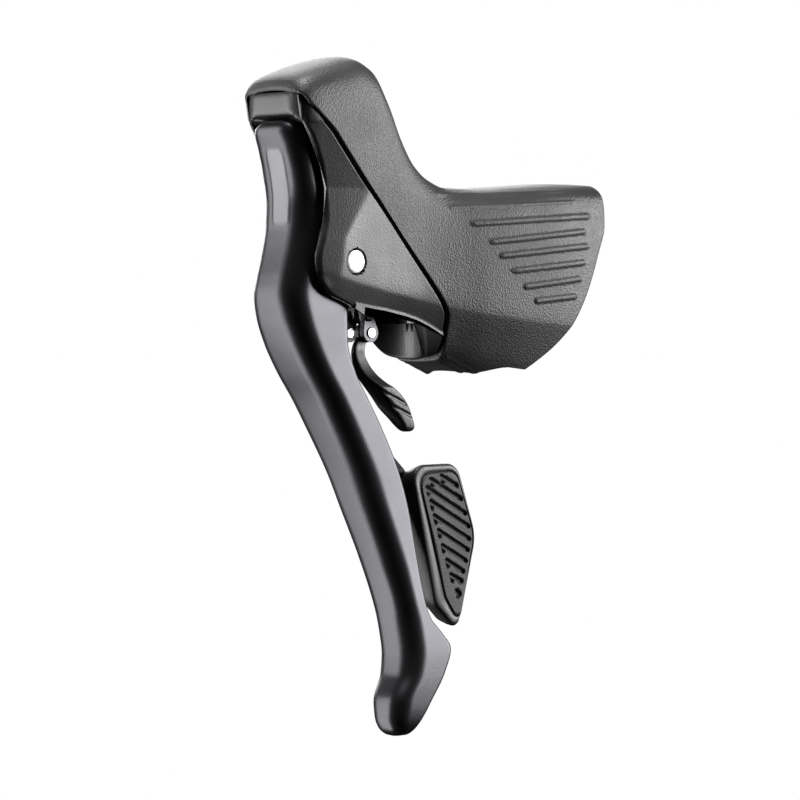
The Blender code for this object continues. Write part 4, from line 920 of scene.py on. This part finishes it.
def finish(name, dark, light, roughness, metallic, grain, bump, swirl, spread, mark=None):
    """Cells grain mm wide raise the surface by bump mm; clouds swirl mm wide mix the colours.

    The clouds also move the roughness by spread either way. A mark is the colour of the
    part that the mesh's own panel attribute covers.
    """
    material = bpy.data.materials.new(name)
    material.use_nodes = True
    material.node_tree.nodes.clear()
    place = add(material, "ShaderNodeTexCoord")
    cloud = add(material, "ShaderNodeTexNoise", values={"Scale": 1000.0 / swirl, "Detail": 4.0},
                links=(("Vector", place, "Object"),))
    colour = add(material, "ShaderNodeMix", {"data_type": "RGBA"},
                 {"A": linear(dark), "B": linear(light)}, (("Factor", cloud, "Fac"),))
    if mark:
        panel = add(material, "ShaderNodeAttribute", {"attribute_name": "panel"})
        colour = add(material, "ShaderNodeMix", {"data_type": "RGBA"}, {"B": linear(mark)},
                     (("Factor", panel, "Fac"), ("A", colour, "Result")))
    gloss = add(material, "ShaderNodeMapRange",
                values={"From Min": 0.3, "From Max": 0.7,
                        "To Min": roughness - spread, "To Max": roughness + spread},
                links=(("Value", cloud, "Fac"),))
    cells = add(material, "ShaderNodeTexVoronoi", {"feature": "SMOOTH_F1"},
                {"Scale": 1000.0 / grain, "Smoothness": 0.35}, (("Vector", place, "Object"),))
    raised = add(material, "ShaderNodeBump", values={"Distance": bump * 0.001, "Strength": 1.0},
                 links=(("Height", cells, "Distance"),))
    shader = add(material, "ShaderNodeBsdfPrincipled", values={"Metallic": metallic},
                 links=(("Base Color", colour, "Result"), ("Roughness", gloss, "Result"),
                        ("Normal", raised, "Normal")))
    add(material, "ShaderNodeOutputMaterial", links=(("Surface", shader, "BSDF"),))
    return material


# %% Materials
FINISHES = {
    # Synthetic rubber from a spark-eroded mould: a deep stipple that breaks up highlights
    "hood_rubber": finish("stippled_rubber", "1f1f20", "2b2b2c", 0.5, 0.0, 0.42, 0.085, 22.0, 0.05),
    # Glass-filled nylon, injection moulded: a fine matt grain with a soft sheen
    "bracket_nylon": finish("moulded_nylon", "1a1a1c", "232325", 0.42, 0.0, 0.42, 0.03, 16.0, 0.05),
    # Aluminium under a satin black coat: long smooth highlights; the panel's coat is paler
    "blade_coat": finish("coated_alloy", "303032", "3a3a3d", 0.36, 0.85, 0.3, 0.012, 30.0, 0.04, "4b4b4d"),
    # Acetal, injection moulded: the blackest part, with an even low sheen
    "paddle_plastic": finish("moulded_acetal", "171718", "202021", 0.45, 0.0, 0.4, 0.03, 14.0, 0.05),
    # Moulded rubber: slightly paler and duller than the frame it sits in
    "pad_rubber": finish("moulded_rubber", "262627", "303031", 0.6, 0.0, 0.45, 0.07, 12.0, 0.05),
    # Ground steel: bright, with a faint grain from the wheel
    "steel": finish("ground_steel", "b2b2b5", "c4c4c6", 0.3, 1.0, 0.35, 0.008, 8.0, 0.06),
    # Drawn spring wire: greyer than ground steel, and smooth
    "spring_steel": finish("drawn_steel", "848488", "9a9a9d", 0.34, 1.0, 0.3, 0.006, 6.0, 0.05),
    # Turned brass: a warm dull yellow
    "brass": finish("turned_brass", "a98b4c", "c2a566", 0.34, 1.0, 0.35, 0.008, 8.0, 0.06),
    # Extruded liner plastic: pale and waxy
    "liner": finish("extruded_liner", "bdbdb6", "cdcdc7", 0.5, 0.0, 0.4, 0.01, 10.0, 0.04),
}
# Steel blackened in hot oil: dark, so that the hubs don't shine out of the bracket
black_steel = finish("blackened_steel", "3c3c3e", "48484a", 0.38, 1.0, 0.35, 0.008, 8.0, 0.06)
BLACKENED = ("main_hub", "release_hub")
print("finishes:", len(FINISHES) + 1)

# %% Give every piece and every measured node its finish
slot_of_node = {row["node"]: row["material_slot"] for row in frame["record"]["subparts"]}
for name, node in frame["nodes"].items():
    node.data.materials.clear()
    node.data.materials.append(black_steel if name in BLACKENED else FINISHES[slot_of_node[name]])
for item in (hood, bracket, saddle_block, lever, paddle_frame, paddle_pad, small_paddle, pin):
    item.data.materials.clear()
    item.data.materials.append(FINISHES[item["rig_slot"]])
print("nodes with a finish:", len(frame["nodes"]))

# %% [markdown]
# ## Studio
# A pale floor, a world that is white to the camera but almost dark to the lever, and
# four large soft lamps: outboard and behind, tall and ahead, above, and one that fills
# the far side. The dark gap between the first two draws the dark band down the blade's
# rounded corner.

# %% Floor and world
# The paint is matt emulsion, rolled on.
FLOOR_Z, FLOOR_RADIUS, FLOOR_SIDES = -0.16, 0.38, 128
floor_mesh = bpy.data.meshes.new("floor")
rim = np.linspace(0.0, 2.0 * math.pi, FLOOR_SIDES, endpoint=False)
rim_points = np.column_stack((FLOOR_RADIUS * np.cos(rim), FLOOR_RADIUS * np.sin(rim) - 0.04,
                              np.full(FLOOR_SIDES, FLOOR_Z)))
floor_mesh.from_pydata(rim_points.tolist(), [], [tuple(range(FLOOR_SIDES))])
floor = new_object("floor", floor_mesh)
floor_mesh.materials.append(finish("floor_paint", "eeeeee", "f2f2f2", 0.6, 0.0, 0.8, 0.002, 200.0, 0.02))
# It throws no light up under the lever, and doesn't block the tall front lamp.
floor.visible_diffuse = floor.visible_glossy = floor.visible_shadow = False

world = bpy.data.worlds.new("studio")
bpy.context.scene.world = world
world.use_nodes = True
world.node_tree.nodes.clear()
rays = add(world, "ShaderNodeLightPath")
seen = add(world, "ShaderNodeBackground", values={"Color": (1.0, 1.0, 1.0, 1.0), "Strength": 1.0})
glow = add(world, "ShaderNodeBackground", values={"Color": (0.9, 0.95, 1.0, 1.0), "Strength": 0.025})
blend = add(world, "ShaderNodeMixShader", links=(("Fac", rays, "Is Camera Ray"),))
for place, light in ((1, glow), (2, seen)):
    world.node_tree.links.new(light.outputs["Background"], blend.inputs[place])
add(world, "ShaderNodeOutputWorld", links=(("Surface", blend, "Shader"),))

# %% Lamps
MIDDLE = np.array((0.0, -0.0423, -0.0274))


def heading(azimuth, elevation):
    """Unit step (sin a cos e, -cos a cos e, sin e) for two angles in degrees."""
    a, e = math.radians(azimuth), math.radians(elevation)
    return np.array((math.sin(a) * math.cos(e), -math.cos(a) * math.cos(e), math.sin(e)))


def lamp(name, azimuth, elevation, distance, width, height, power):
    """Puts a lamp at a distance from the lever's middle, aimed at it."""
    way = heading(azimuth, elevation)
    light = bpy.data.lights.new(name, "AREA")
    light.shape, light.size, light.size_y, light.energy = "RECTANGLE", width, height, power
    item = new_object(name, light)
    item.location = MIDDLE + way * distance
    item.rotation_euler = Vector(way).to_track_quat("Z", "Y").to_euler()
    print(name, "at", np.round(item.location, 2))


lamp("side_lamp", 140.0, 10.0, 0.9, 0.5, 0.4, 13.5)
lamp("front_lamp", -46.0, -12.0, 0.9, 0.4, 1.3, 15.0)
lamp("top_lamp", 30.0, 80.0, 0.9, 0.35, 0.35, 13.0)
lamp("rear_lamp", 245.0, 25.0, 1.1, 0.8, 0.8, 12.0)

# %% Camera
VIEW_AZIMUTH, VIEW_ELEVATION, VIEW_DISTANCE = 48.0, 0.0, 1.22    # degrees, degrees, metres
camera_data = bpy.data.cameras.new("camera")
camera_data.sensor_width, camera_data.lens = 36.0, 216.0
camera = new_object("camera", camera_data)
away = heading(VIEW_AZIMUTH, VIEW_ELEVATION)
camera.location = MIDDLE + away * VIEW_DISTANCE
camera.rotation_euler = Vector(away).to_track_quat("Z", "Y").to_euler()
bpy.context.scene.camera = camera
bpy.context.scene.view_settings.view_transform = "Standard"
print("camera at", np.round(camera.location, 2))
